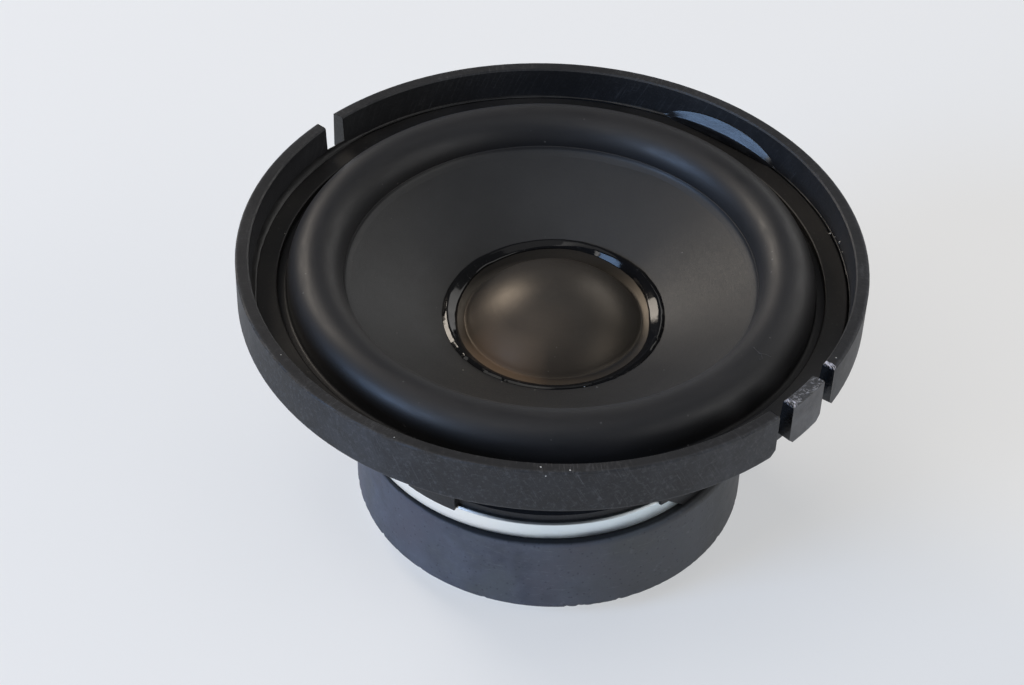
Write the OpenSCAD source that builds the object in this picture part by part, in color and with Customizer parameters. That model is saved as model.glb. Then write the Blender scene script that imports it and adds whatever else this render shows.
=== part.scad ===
// Round loudspeaker driver for a dashboard: moulded basket with a keyed rim, rubber half-roll
// surround, paper cone with a dust cap, and a ferrite ring magnet behind it.
// Millimetres. Z runs along the driver's axis towards the listener. The origin is the centre of
// the back face of the yoke. Angles are measured from +X towards +Y.

/* [Rim] */
// Outer diameter of the rim
rim_d = 100; // [96:0.5:112]
// Height of the rim wall
rim_h = 8.2; // [7:0.1:10]
// How far the wall's lower edge stands above the ledge's underside
rim_lift = 0.8; // [0.2:0.1:0.9]
// Thickness of the rim wall at its top edge
rim_wall = 2.1; // [1.6:0.1:3]
// Extra thickness of the rim wall at its foot
rim_draft = 0.5; // [0.2:0.1:1]
// Rounding of the rim's lower outer edge
rim_round = 0.6; // [0.3:0.1:1.4]
// Chamfer of the rim's two top edges
rim_edge = 0.25; // [0.1:0.05:0.5]
// Angle of the keyed side of the rim
key_angle = -39.4; // [-60:0.1:-30]
// Width of the tab between the two key slots
tab_w = 7.9; // [5:0.1:12]
// Width of each key slot beside the tab
slot_w = 3; // [2:0.1:4]
// Width of the single slot opposite the tab
back_slot_w = 4; // [2.5:0.1:6]
// Chamfer of the wall's lower corners beside the slots
slot_chamfer = 1.4; // [0.4:0.1:2.2]

/* [Basket] */
// Height of the basket, from the front plate to the rim's top edge
basket_h = 30.3; // [29:0.1:36]
// Thickness of the ledge that carries the surround
ledge_t = 1.6; // [1.2:0.1:2.2]
// Thickness of the cup's wall
cup_wall = 1.8; // [1.4:0.1:2.4]
// Thickness of the cup's floor
floor_t = 2; // [1.4:0.1:2.6]
// Inner diameter of the cup's floor
floor_d = 38; // [34:0.5:40]
// Width of the foot ring outside the cup
foot_ring_w = 0.8; // [0.4:0.1:1.2]
// Thickness of the foot ring
foot_ring_t = 1.2; // [0.8:0.1:1.8]
// Thickness of the seat that carries the spider
seat_t = 1.8; // [1.2:0.1:2.4]
// Height of the lip round the spider
seat_lip_h = 1.3; // [0.6:0.1:1.8]
// Thickness of the lip round the spider
seat_lip_t = 1.1; // [0.8:0.1:1.6]
// Width of a leg
leg_w = 9.1; // [6:0.1:14]
// Width of the leg on the keyed side
key_leg_w = 16; // [14:0.1:18]
// Angle from the keyed leg to the leg on either side of it
leg_spread = 85; // [75:1:95]
// Thickness of a leg's outer shell
leg_shell = 1.9; // [1.4:0.1:2.6]
// Thickness of the two side ribs of a leg
rib_t = 1.5; // [1:0.1:2.2]
// Thickness of a leg's foot outside the front plate
foot_t = 0.5; // [0.3:0.1:1]
// Depth to which a leg's foot laps over the front plate's side
foot_lap = 0.6; // [0.3:0.1:1.5]
// Width of the key lug where it starts to narrow
lug_w = 13.6; // [11:0.1:14]
// Width of the key lug at its lower edge
lug_tip_w = 6.2; // [4:0.1:9]

/* [Surround] */
// Outside width of the half roll
roll_w = 9; // [7:0.1:10]
// Thickness of the rubber
surround_t = 0.55; // [0.4:0.05:0.8]
// Rise of the roll's foot above the surround's outer flange
roll_lift = 1.5; // [1:0.1:2.2]
// Width of the trough between the roll and the clamp ring
trough_w = 1.5; // [1:0.1:2.5]
// Width of the surround's inner flange on the cone
lap_w = 1.8; // [1.2:0.1:2.6]
// Width of the clamp ring
clamp_w = 3.6; // [2.6:0.1:4.4]
// Thickness of the clamp ring
clamp_t = 1.25; // [0.8:0.05:1.8]

/* [Cone] */
// Slope of the cone, in degrees
cone_angle = 27.4; // [25:0.1:29]
// Thickness of the cone paper
cone_t = 0.5; // [0.3:0.05:0.7]
// Length of the cone's neck on the former
neck_h = 1.6; // [1:0.1:2]
// Diameter of the dust cap over its brim
cap_d = 34.4; // [32:0.1:38]
// Gap between the dust cap's dome and the glue on the cone's neck
cap_clear = 0.2; // [0.1:0.1:0.6]
// Height of the dust cap's dome
cap_h = 7.4; // [6:0.1:8]
// Thickness of the dust cap
cap_t = 0.45; // [0.3:0.05:0.6]
// Radius of the glue bead round the dust cap
bead_r = 1.05; // [0.8:0.05:1.4]
// Width of the glue fillets on the former
fillet_w = 0.8; // [0.6:0.1:1]

/* [Voice coil] */
// Inner diameter of the former
former_d = 25.4; // [24.8:0.1:26]
// Thickness of the former
former_t = 0.2; // [0.15:0.01:0.3]
// Height of the winding
winding_h = 7.2; // [5:0.1:8]
// Thickness of the winding
winding_t = 0.55; // [0.4:0.05:0.7]
// Running gap between the former and the pole
pole_gap = 0.5; // [0.4:0.05:0.7]
// Running gap between the winding and the front plate
plate_gap = 0.45; // [0.4:0.05:0.7]
// Width of the two winding tails
tail_w = 0.7; // [0.4:0.1:1]
// Thickness of the two winding tails
tail_t = 0.25; // [0.15:0.05:0.35]
// Travel of the cone each way from rest
travel = 3; // [1.5:0.1:3.4]

/* [Spider] */
// Outer diameter of the spider
spider_d = 57; // [56:0.1:57.4]
// Width of the spider's flat outer flange
spider_flange = 2.6; // [2:0.1:3]
// Thickness of the spider cloth
spider_t = 0.4; // [0.3:0.05:0.5]
// Depth of the corrugations, crest to trough
wave_h = 1.8; // [1:0.1:2.2]
// Number of corrugations
wave_count = 5; // [3:1:6]
// Drop from the cone's neck to the middle of the spider
spider_drop = 2.5; // [2.5:0.1:2.9]

/* [Magnet] */
// Diameter of the front plate
plate_d = 62.6; // [62.4:0.1:64]
// Thickness of the front plate
plate_t = 3.6; // [3:0.1:5]
// Diameter of the magnet
magnet_d = 65.3; // [64.5:0.1:72]
// Thickness of the magnet
magnet_h = 14.7; // [13:0.1:18]
// Diameter of the hole through the magnet
magnet_bore = 32; // [30:0.5:36]
// Distance by which the magnet is glued off the axis, towards +X
magnet_shift = 1.1; // [0:0.1:1.2]
// Chamfer of the magnet's edges
magnet_edge = 0.5; // [0.2:0.1:1.2]
// Diameter of the yoke's back disc
yoke_d = 60.6; // [56:0.1:63]
// Thickness of the yoke's back disc
yoke_t = 3; // [2.8:0.1:5]
// Chamfer of the yoke's back edge
yoke_edge = 1.8; // [0.5:0.1:2.2]
// Diameter of the four screws that hold the basket to the front plate
screw_d = 3.4; // [3:0.1:4]
// Gap between the screw heads and the cup's wall
screw_inset = 1.6; // [1.2:0.1:2]
// Diameter of the screw heads
screw_head_d = 5.8; // [5:0.1:6.4]
// Height of the screw heads
screw_head_h = 1.7; // [1.2:0.1:2.2]

/* [Terminals] */
// Width of the terminal board
board_w = 24; // [22:0.5:27]
// Height of the terminal board
board_h = 10.5; // [9.5:0.1:11]
// Thickness of the terminal board
board_t = 1.2; // [0.8:0.1:1.6]
// Distance between the two tabs
tab_pitch = 14; // [12:0.5:16]
// Width of the wide tab
wide_tab_w = 4.8; // [4:0.1:6.3]
// Width of the narrow tab
narrow_tab_w = 2.8; // [2.6:0.1:4]
// Thickness of the tabs
tab_t = 0.8; // [0.5:0.1:1]
// Length of a tab's free blade
blade_l = 7.5; // [6:0.1:8.5]
// Depth of the pad that the terminal board is fixed to
pad_t = 3.2; // [2.6:0.1:4]
// Diameter of the tinsel leads
lead_d = 1; // [0.8:0.1:1.2]
// Length of a lead's end on its tab
lead_lap = 1.8; // [1.4:0.1:2]
// Height of a lead's bow over its tab
lead_rise = 1.5; // [1.2:0.1:2.4]
// Depth of a lead's sag under its glue dab
lead_sag = 2.6; // [1.8:0.1:2.8]
// Distance from the middle of a glue dab to the terminals' middle line
dab_x = 6.2; // [5:0.1:7]
// Diameter of the glue dabs that hold the leads to the cone
dab_d = 4.6; // [3.6:0.1:5.4]
// Thickness of the glue dabs
dab_t = 0.9; // [0.6:0.1:1.2]

/* [Hidden] */
$fn = 96;

// Gap left for the glue between pieces of one glued stack
glue = 0.05;
// Clearance of a soft piece from the moving piece that it is glued to
soft_gap = 0.1;
// Clearance of a piece that drops into a seat
fit = 0.2;
// Clearance of a screw or rivet in its hole
hole_fit = 0.1;
// Overlap that makes two shapes of one solid merge
merge = 0.5;
// Extra length that lets a cut run past a face
past = 1;

// Heights of the stack
plate_z0 = yoke_t + magnet_h;
plate_z1 = plate_z0 + plate_t;
rim_z1 = plate_z1 + basket_h;
rim_z0 = rim_z1 - rim_h;
ledge_z0 = rim_z0 - rim_lift;
ledge_z1 = ledge_z0 + ledge_t;

// Radii from the rim inwards
rim_r = rim_d / 2;
foot_r = rim_r - rim_wall - rim_draft;
clamp_r1 = foot_r - fit;
clamp_r0 = clamp_r1 - clamp_w;
roll_r1 = clamp_r0 - trough_w;
roll_rc = roll_r1 - roll_w / 2;
roll_r0 = roll_r1 - roll_w;
ledge_r0 = roll_r1 + fit;

// Heights of the surround
flange_z = ledge_z1 + glue;
roll_z = flange_z + surround_t + roll_lift;

// Cone: the front face is a straight slope from the edge down to the neck
cone_r = roll_r0 + surround_t;
cone_z = roll_z - 0.3;
cone_tv = cone_t / cos(cone_angle);
former_r1 = former_d / 2 + former_t;
neck_r0 = former_r1 + glue;
function front_z(r) = cone_z - (cone_r - r) * tan(cone_angle);
function back_z(r) = front_z(r) - cone_tv;
neck_z1 = front_z(neck_r0);
neck_z0 = neck_z1 - neck_h;

// Dust cap
cap_r = cap_d / 2;
dome_r = neck_r0 + fillet_w + cap_clear + cap_t;
brim_tv = cap_t / cos(cone_angle);
function brim_z(r) = front_z(r) + glue;
dome_z = brim_z(dome_r) + brim_tv;
dome_ball_r = (dome_r * dome_r + cap_h * cap_h) / (2 * cap_h);
dome_ball_z = dome_z + cap_h - dome_ball_r;

// Spider and its seat
spider_z = neck_z0 - spider_drop + neck_h;
seat_z = spider_z - spider_t / 2 - glue;
seat_r0 = spider_d / 2 - spider_flange;
lip_r0 = spider_d / 2 + fit;
cup_r = lip_r0 + seat_lip_t;
foot_ring_r = cup_r + foot_ring_w;
screw_circle_r = cup_r - cup_wall - screw_inset - screw_head_d / 2;
hub_r0 = former_r1 + soft_gap;
hub_w = 0.9;
hub_h = 0.8;

// Voice coil, centred on the front plate
coil_z = plate_z0 + plate_t / 2;
winding_r0 = former_r1 + 0.02;
winding_r1 = winding_r0 + winding_t;
winding_z1 = coil_z + winding_h / 2;
former_z0 = coil_z - winding_h / 2 - 1;
former_z1 = neck_z1 + fillet_w;
pole_r = former_d / 2 - pole_gap;
plate_bore_r = winding_r1 + plate_gap;
tail_angle = 14;
tail_run = 5.5;
tail_end_r = former_r1 + tail_run;

// Legs: the keyed leg, one on either side of it and one opposite
leg_angles = [key_angle, key_angle + leg_spread, key_angle + 180, key_angle - leg_spread];
leg_widths = [key_leg_w, leg_w, leg_w, leg_w];
leg_foot_r = max(plate_d / 2, foot_ring_r) + foot_t;
leg_top_r = ledge_r0 + 1.25 * leg_shell;
leg_bend_z = plate_z1 + 2 * foot_ring_t;
lug_h = plate_t;

// Screws sit half way between the legs' feet
screw_angles = [for (i = [0:3]) key_angle + 45 + 90 * i];

// Terminals stand on the pad in the middle of the wide gap between two legs
terminal_angle = key_angle + 180 - (180 - leg_spread) / 2;
pad_y = cup_r + pad_t;
pad_w = board_w - 2;
rivet_r = 1.05;
rivet_head_r = 1.9;
rivet_head_t = 0.6;
board_screw_r = 1.2;
board_rise = 0.7;
board_z0 = seat_z + board_rise - board_h;
rivet_z = board_z0 + 3.6;
board_y1 = pad_y + glue + board_t;
tab_y0 = board_y1 + glue;
blade_z = rivet_z - 3;
strap_w = 2.4;
strap_rise = 2;
tab_top_z = board_z0 + board_h + strap_rise;

// Glue dabs under the cone, in the terminal's own frame
dab_y = tail_end_r + 0.4 * dab_d;
dab_z = back_z(norm([dab_x, dab_y])) - glue - dab_t;

// Route of the lead on the wide tab's side, in the terminal's own frame: up the tab's outer face,
// over its top, then in a slack bow to the dab. Its points run from 0 at the tab to 1 at the dab.
tab_x = tab_pitch / 2;
lead_y = tab_y0 + tab_t + lead_d / 2 + soft_gap;
function lead_point(t, z) = [tab_x + (dab_x - tab_x) * t, lead_y + (dab_y - lead_y) * t, z];
lead_route = [
    lead_point(0, tab_top_z - lead_lap),
    lead_point(0, tab_top_z - lead_lap / 4),
    lead_point(0.03, tab_top_z + lead_rise / 2),
    lead_point(0.12, tab_top_z + lead_rise),
    lead_point(0.26, tab_top_z + lead_rise * 0.93),
    lead_point(0.4, tab_top_z + lead_rise * 0.6),
    lead_point(0.53, dab_z - lead_sag * 0.9),
    lead_point(0.67, dab_z - lead_sag),
    lead_point(0.79, dab_z - lead_sag * 0.92),
    lead_point(0.9, dab_z - lead_sag * 0.6),
    lead_point(0.955, dab_z - lead_sag * 0.3)
];

// Ring with a rectangular section
module band(r0, r1, z0, z1) {
    rotate_extrude() translate([r0, z0]) square([r1 - r0, z1 - z0]);
}

// Turns its children to the terminal's side
module at_terminal() {
    rotate([0, 0, terminal_angle - 90]) children();
}

// Wall of the rim with its rounded lower edge
module rim_ring() {
    steps = 5;
    corner = [for (i = [0:steps]) [
        rim_r - rim_round + rim_round * sin(90 * i / steps),
        rim_z0 + rim_round - rim_round * cos(90 * i / steps)
    ]];
    rotate_extrude() polygon(concat([[foot_r - merge, rim_z0]], corner, [
        [rim_r, rim_z1 - rim_edge],
        [rim_r - rim_edge, rim_z1],
        [rim_r - rim_wall + rim_edge, rim_z1],
        [rim_r - rim_wall, rim_z1 - rim_edge],
        [foot_r, ledge_z1],
        [foot_r - merge, ledge_z1]
    ]));
}

// One slot through the rim wall with its lower corners broken
module rim_slot(angle, width) {
    reach = rim_wall + rim_draft + past;
    rotate([0, 0, angle]) {
        translate([foot_r, -width / 2, rim_z0 - past]) cube([reach, width, rim_h + 2 * past]);
        for (side = [-1, 1])
            translate([foot_r, side * width / 2, rim_z0])
                rotate([45, 0, 0])
                    translate([0, -slot_chamfer / sqrt(2), -slot_chamfer / sqrt(2)])
                        cube([reach, sqrt(2) * slot_chamfer, sqrt(2) * slot_chamfer]);
    }
}

// The two key slots and the slot opposite
module rim_slots() {
    offset_angle = asin((tab_w + slot_w) / 2 / rim_r);
    for (side = [-1, 1]) rim_slot(key_angle + side * offset_angle, slot_w);
    rim_slot(key_angle + 180, back_slot_w);
}

// Section through a leg's outer shell, from its foot up to the ledge
module leg_shell_section() {
    polygon([
        [cup_r - merge, plate_z1],
        [leg_foot_r, plate_z1],
        [leg_foot_r, leg_bend_z],
        [leg_top_r, ledge_z0 + merge],
        [leg_top_r - leg_shell, ledge_z0 + merge],
        [leg_foot_r - leg_shell, leg_bend_z + rib_t / 2],
        [cup_r - merge, leg_bend_z + rib_t / 2]
    ]);
}

// Section through a leg's side ribs
module leg_rib_section() {
    polygon([
        [cup_r - merge, plate_z1],
        [leg_foot_r, plate_z1],
        [leg_foot_r, leg_bend_z],
        [leg_top_r, ledge_z0 + merge],
        [ledge_r0, ledge_z0 + merge],
        [cup_r + 2 * leg_shell, seat_z + seat_lip_h + leg_shell],
        [cup_r - merge, seat_z + seat_lip_h / 2]
    ]);
}

// One leg: a curved shell with a rib down each side and a foot over the plate's edge
module leg(angle, width) {
    rotate([0, 0, angle]) {
        intersection() {
            rotate_extrude() leg_shell_section();
            translate([0, -width / 2, 0]) cube([rim_r, width, rim_z1]);
        }
        for (side = [-1, 1])
            intersection() {
                rotate_extrude() leg_rib_section();
                translate([0, side * (width - rib_t) / 2 - rib_t / 2, 0]) cube([rim_r, rib_t, rim_z1]);
            }
        intersection() {
            band(plate_d / 2 + hole_fit, leg_foot_r, plate_z1 - foot_lap, plate_z1 + merge);
            translate([0, -width / 2, 0]) cube([rim_r, width, rim_z1]);
        }
    }
}

// Lug that laps over the whole side of the plate on the keyed side
module key_lug() {
    lug_z0 = plate_z1 - lug_h;
    rotate([0, 0, key_angle]) intersection() {
        band(plate_d / 2 + hole_fit, leg_foot_r, lug_z0, plate_z1 + foot_ring_t / 2);
        rotate([0, 0, -90]) rotate([90, 0, 0])
            translate([0, 0, -rim_r]) linear_extrude(rim_r) polygon([
                [-lug_tip_w / 2, lug_z0],
                [lug_tip_w / 2, lug_z0],
                [lug_w / 2, plate_z1 - foot_lap / 2],
                [lug_w / 2, plate_z1 + foot_ring_t / 2],
                [-lug_w / 2, plate_z1 + foot_ring_t / 2],
                [-lug_w / 2, plate_z1 - foot_lap / 2]
            ]);
    }
}

// Pad on the cup's side for the terminal board, with pockets for the rivets' tails
module terminal_pad() {
    pad_z0 = plate_z1;
    at_terminal() difference() {
        translate([-pad_w / 2, 0, pad_z0]) cube([pad_w, pad_y, seat_z - pad_z0]);
        cylinder(r = cup_r - merge, h = rim_z1);
        for (side = [-1, 1])
            translate([side * tab_pitch / 2, pad_y + past, rivet_z]) rotate([90, 0, 0])
                cylinder(r = rivet_head_r + 2 * fit, h = past + rivet_head_t + fit);
    }
}

// Moulded basket
module basket() {
    color([0.13, 0.13, 0.14]) difference() {
        union() {
            rim_ring();
            band(ledge_r0, foot_r, ledge_z0, ledge_z1);
            band(cup_r - cup_wall, cup_r, plate_z1, seat_z);
            band(floor_d / 2, cup_r, plate_z1, plate_z1 + floor_t);
            band(cup_r - merge, foot_ring_r, plate_z1, plate_z1 + foot_ring_t);
            band(seat_r0, cup_r, seat_z - seat_t, seat_z);
            band(lip_r0, cup_r, seat_z - merge, seat_z + seat_lip_h);
            for (i = [0:len(leg_angles) - 1]) leg(leg_angles[i], leg_widths[i]);
            key_lug();
            terminal_pad();
        }
        rim_slots();
        for (a = screw_angles)
            rotate([0, 0, a]) translate([screw_circle_r, 0, plate_z1 - past])
                cylinder(d = screw_d + 4 * hole_fit, h = floor_t + 2 * past);
        at_terminal() translate([0, pad_y + past, rivet_z]) rotate([90, 0, 0])
            cylinder(r = board_screw_r + hole_fit, h = pad_t + past);
    }
}

// Hard ring glued over the surround's outer flange
module clamp_ring() {
    z0 = flange_z + surround_t + glue;
    edge = 0.2;
    color([0.16, 0.15, 0.15]) rotate_extrude() polygon([
        [clamp_r0, z0],
        [clamp_r1, z0],
        [clamp_r1, z0 + clamp_t - edge],
        [clamp_r1 - edge, z0 + clamp_t],
        [clamp_r0 + edge, z0 + clamp_t],
        [clamp_r0, z0 + clamp_t - edge]
    ]);
}

// Rubber surround: outer flange, half roll and an inner flange on the cone
module surround() {
    lap_r0 = roll_r0 - lap_w;
    color([0.1, 0.1, 0.11]) rotate_extrude() {
        intersection() {
            translate([roll_rc, roll_z]) difference() {
                circle(d = roll_w);
                circle(d = roll_w - 2 * surround_t);
            }
            translate([roll_r0, roll_z]) square([roll_w, roll_w]);
        }
        translate([roll_r1 - surround_t, flange_z]) square([surround_t, roll_z - flange_z + 0.01]);
        translate([roll_r1 - surround_t, flange_z]) square([clamp_r1 - roll_r1 + surround_t, surround_t]);
        polygon([
            [cone_r, roll_z + 0.01],
            [roll_r0, roll_z + 0.01],
            [lap_r0, front_z(lap_r0) + soft_gap + surround_t * 0.6],
            [lap_r0, front_z(lap_r0) + soft_gap],
            [cone_r, front_z(cone_r) + soft_gap]
        ]);
    }
}

// Paper cone with its neck
module cone() {
    neck_r1 = neck_r0 + cone_t;
    color([0.2, 0.2, 0.2]) rotate_extrude() polygon([
        [neck_r0, neck_z1],
        [cone_r, cone_z],
        [cone_r, cone_z - cone_tv],
        [neck_r1, back_z(neck_r1)],
        [neck_r1, neck_z0],
        [neck_r0, neck_z0]
    ]);
}

// Dust cap: a dome with a brim that lies on the cone's slope
module dust_cap() {
    brim_r0 = dome_r - cap_t;
    color([0.25, 0.23, 0.21]) rotate_extrude() {
        intersection() {
            translate([0, dome_ball_z]) difference() {
                circle(r = dome_ball_r);
                circle(r = dome_ball_r - cap_t);
            }
            translate([0, brim_z(dome_r)]) square([dome_r, cap_h + 2 * cap_t]);
        }
        polygon([
            [brim_r0, brim_z(brim_r0)],
            [cap_r, brim_z(cap_r)],
            [cap_r, brim_z(cap_r) + brim_tv],
            [brim_r0, brim_z(brim_r0) + brim_tv]
        ]);
    }
}

// Glue bead that holds the dust cap to the cone
module dust_cap_glue() {
    bead_z = front_z(cap_r) + 0.35;
    color([0.04, 0.04, 0.04]) rotate_extrude() difference() {
        intersection() {
            translate([cap_r + 0.15, bead_z]) circle(r = bead_r);
            polygon([
                [dome_r, brim_z(dome_r)],
                [cap_r + 2 * bead_r, brim_z(cap_r + 2 * bead_r)],
                [cap_r + 2 * bead_r, brim_z(cap_r) + 3 * bead_r],
                [dome_r, brim_z(cap_r) + 3 * bead_r]
            ]);
        }
        polygon([
            [dome_r - past, brim_z(dome_r - past) - past],
            [cap_r + glue, brim_z(cap_r + glue) - past],
            [cap_r + glue, brim_z(cap_r + glue) + brim_tv + glue],
            [dome_r - past, brim_z(dome_r - past) + brim_tv + glue]
        ]);
    }
}

// Glue fillet between the cone's neck and the former
module neck_glue() {
    r0 = former_r1 + glue;
    color([0.06, 0.06, 0.06]) rotate_extrude() polygon([
        [r0, front_z(r0) + glue],
        [r0 + fillet_w, front_z(r0 + fillet_w) + glue],
        [r0 + 0.2, front_z(r0) + glue + fillet_w * 0.9],
        [r0, front_z(r0) + glue + fillet_w * 0.9]
    ]);
}

// Tube that carries the winding
module coil_former() {
    color([0.72, 0.6, 0.42]) difference() {
        translate([0, 0, former_z0]) cylinder(r = former_r1, h = former_z1 - former_z0);
        translate([0, 0, former_z0 - past]) cylinder(d = former_d, h = former_z1 - former_z0 + 2 * past);
    }
}

// Winding of the voice coil
module coil_winding() {
    color([0.72, 0.4, 0.2]) band(winding_r0, winding_r1, winding_z1 - winding_h, winding_z1);
}

// The two wire tails that run from the winding up the former and out under the cone
module coil_tails() {
    r0 = former_r1 + 0.02;
    r1 = r0 + tail_t;
    turn_r = neck_r0 + cone_t + glue;
    low_z = neck_z0 - glue;
    color([0.72, 0.4, 0.2]) at_terminal() for (side = [-1, 1])
        rotate([0, 0, 90 + side * tail_angle]) translate([0, tail_w / 2, 0]) rotate([90, 0, 0])
            linear_extrude(tail_w) polygon([
                [r0, winding_z1 + glue],
                [r1, winding_z1 + glue],
                [r1, low_z - tail_t],
                [turn_r + tail_t, low_z - tail_t],
                [turn_r + tail_t, back_z(turn_r + tail_t) - glue - tail_t],
                [tail_end_r, back_z(tail_end_r) - glue - tail_t],
                [tail_end_r, back_z(tail_end_r) - glue],
                [turn_r, back_z(turn_r) - glue],
                [turn_r, low_z],
                [r0, low_z]
            ]);
}

// Room that the tails need through the pieces glued round the former
module tail_ways() {
    at_terminal() for (side = [-1, 1])
        rotate([0, 0, 90 + side * tail_angle]) translate([former_r1 - past, -tail_w / 2 - fit, 0])
            cube([past + tail_t + fit, tail_w + 2 * fit, neck_z0]);
}

// Corrugated cloth disc that centres the coil
module spider() {
    r0 = hub_r0 + hub_w;
    wave_w = seat_r0 - r0;
    steps = 12 * wave_count;
    function wave_r(i) = r0 + wave_w * i / steps;
    function wave_z(i) = spider_z + wave_h / 2 * sin(360 * wave_count * i / steps);
    top = [for (i = [0:steps]) [wave_r(i), wave_z(i) + spider_t / 2]];
    bottom = [for (i = [0:steps]) [wave_r(steps - i), wave_z(steps - i) - spider_t / 2]];
    color([0.75, 0.66, 0.42]) difference() {
        union() {
            rotate_extrude() polygon(concat(top, bottom));
            band(seat_r0 - 0.01, spider_d / 2, spider_z - spider_t / 2, spider_z + spider_t / 2);
            band(hub_r0, r0 + 0.01, spider_z - hub_h / 2, spider_z + hub_h / 2);
        }
        tail_ways();
    }
}

// Glue fillet between the spider's hub and the former
module spider_glue() {
    z0 = spider_z - hub_h / 2 - soft_gap;
    r0 = former_r1 + glue;
    color([0.06, 0.06, 0.06]) difference() {
        rotate_extrude() polygon([
            [r0, z0],
            [r0 + fillet_w * 0.7, z0],
            [r0 + 0.2, z0 - fillet_w],
            [r0, z0 - fillet_w]
        ]);
        tail_ways();
    }
}

// Point on the smooth curve through the route, t counted in route points
function route_point(p, t) =
    let (
        last = len(p) - 1,
        i = min(floor(t), last - 1),
        u = t - i,
        a = p[max(i - 1, 0)],
        b = p[i],
        c = p[i + 1],
        d = p[min(i + 2, last)]
    )
    0.5 * (2 * b + (c - a) * u + (2 * a - 5 * b + 4 * c - d) * u * u
        + (3 * b - a - 3 * c + d) * u * u * u);

// Tube swept along the route, eight sides, closed at both ends
module swept_tube(p, d, steps) {
    sides = 8;
    last = len(p) - 1;
    centre = [for (i = [0:steps]) route_point(p, last * i / steps)];
    along = [for (i = [0:steps])
        let (v = centre[min(i + 1, steps)] - centre[max(i - 1, 0)]) v / norm(v)];
    across = [1, 0, 0];
    rings = [for (i = [0:steps])
        let (n = cross(along[i], across), up = n / norm(n), side = cross(up, along[i]))
        [for (k = [0:sides - 1])
            centre[i] + d / 2 * (cos(360 * k / sides) * side + sin(360 * k / sides) * up)]];
    points = [for (ring = rings) for (q = ring) q];
    walls = [for (i = [0:steps - 1]) for (k = [0:sides - 1])
        let (a = i * sides + k, b = i * sides + (k + 1) % sides)
        each [[a, b, b + sides], [a, b + sides, a + sides]]];
    caps = [
        [for (k = [0:sides - 1]) sides - 1 - k],
        [for (k = [0:sides - 1]) steps * sides + k]
    ];
    polyhedron(points = points, faces = concat(walls, caps));
}

// One tinsel lead, from its tab over the board to the glue dab under the cone
module lead(side) {
    color([0.7, 0.5, 0.3]) at_terminal()
        swept_tube([for (q = lead_route) [side * q[0], q[1], q[2]]], lead_d, 20);
}

module lead_plus() {
    lead(1);
}

module lead_minus() {
    lead(-1);
}

// Glue dabs that hold the leads and the tails under the cone
module lead_dabs() {
    color([0.06, 0.06, 0.06]) intersection() {
        rotate_extrude() polygon([
            [tail_end_r + glue, back_z(tail_end_r + glue) - glue],
            [cone_r - 2, back_z(cone_r - 2) - glue],
            [cone_r - 2, back_z(cone_r - 2) - glue - dab_t],
            [tail_end_r + glue, back_z(tail_end_r + glue) - glue - dab_t]
        ]);
        at_terminal() for (side = [-1, 1])
            translate([side * dab_x, dab_y, 0]) cylinder(d = dab_d, h = rim_z1);
    }
}

// Fibre board that carries the two tabs
module terminal_board() {
    color([0.42, 0.26, 0.14]) at_terminal() difference() {
        translate([-board_w / 2, pad_y + glue, board_z0]) cube([board_w, board_t, board_h]);
        for (x = [-tab_pitch / 2, 0, tab_pitch / 2])
            translate([x, pad_y - past, rivet_z]) rotate([-90, 0, 0])
                cylinder(r = (x == 0 ? board_screw_r : rivet_r) + hole_fit, h = board_t + 2 * past);
    }
}

// Push-on tab: a strap riveted to the board, a blade that stands out and a solder end on top
module terminal_tab(side, width) {
    x = side * tab_pitch / 2;
    tip = 0.7;
    at_terminal() translate([x, 0, 0]) difference() {
        union() {
            translate([-width / 2, tab_y0, blade_z])
                cube([width, tab_t, rivet_z + rivet_head_r - blade_z]);
            translate([-strap_w / 2, tab_y0, rivet_z]) cube([strap_w, tab_t, tab_top_z - rivet_z]);
            translate([0, tab_y0 + tab_t / 2, blade_z]) linear_extrude(tab_t) polygon([
                [-width / 2, 0],
                [width / 2, 0],
                [width / 2, blade_l - tip],
                [width / 2 - tip, blade_l],
                [-width / 2 + tip, blade_l],
                [-width / 2, blade_l - tip]
            ]);
        }
        translate([0, tab_y0 - past, rivet_z]) rotate([-90, 0, 0])
            cylinder(r = rivet_r + hole_fit, h = tab_t + 2 * past);
        translate([0, tab_y0 + blade_l * 0.62, blade_z - past]) cylinder(r = 0.75, h = tab_t + 2 * past);
        translate([0, tab_y0 - past, tab_top_z - strap_w / 2]) rotate([-90, 0, 0])
            cylinder(r = strap_w / 4, h = tab_t + 2 * past);
    }
}

module terminal_plus() {
    color([0.75, 0.74, 0.7]) terminal_tab(1, wide_tab_w);
}

module terminal_minus() {
    color([0.75, 0.74, 0.7]) terminal_tab(-1, narrow_tab_w);
}

// Tubular rivets that hold the tabs to the board
module terminal_rivets() {
    head_y = tab_y0 + tab_t + glue;
    tail_y = pad_y + glue - rivet_head_t - glue;
    color([0.8, 0.72, 0.5]) at_terminal() for (side = [-1, 1])
        translate([side * tab_pitch / 2, 0, rivet_z]) rotate([-90, 0, 0]) difference() {
            union() {
                translate([0, 0, tail_y]) cylinder(r = rivet_r, h = head_y + rivet_head_t - tail_y);
                translate([0, 0, head_y]) cylinder(r = rivet_head_r, h = rivet_head_t);
                translate([0, 0, tail_y]) cylinder(r = rivet_head_r, h = rivet_head_t);
            }
            translate([0, 0, tail_y - past])
                cylinder(r = rivet_r * 0.55, h = head_y + rivet_head_t - tail_y + 2 * past);
        }
}

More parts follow.
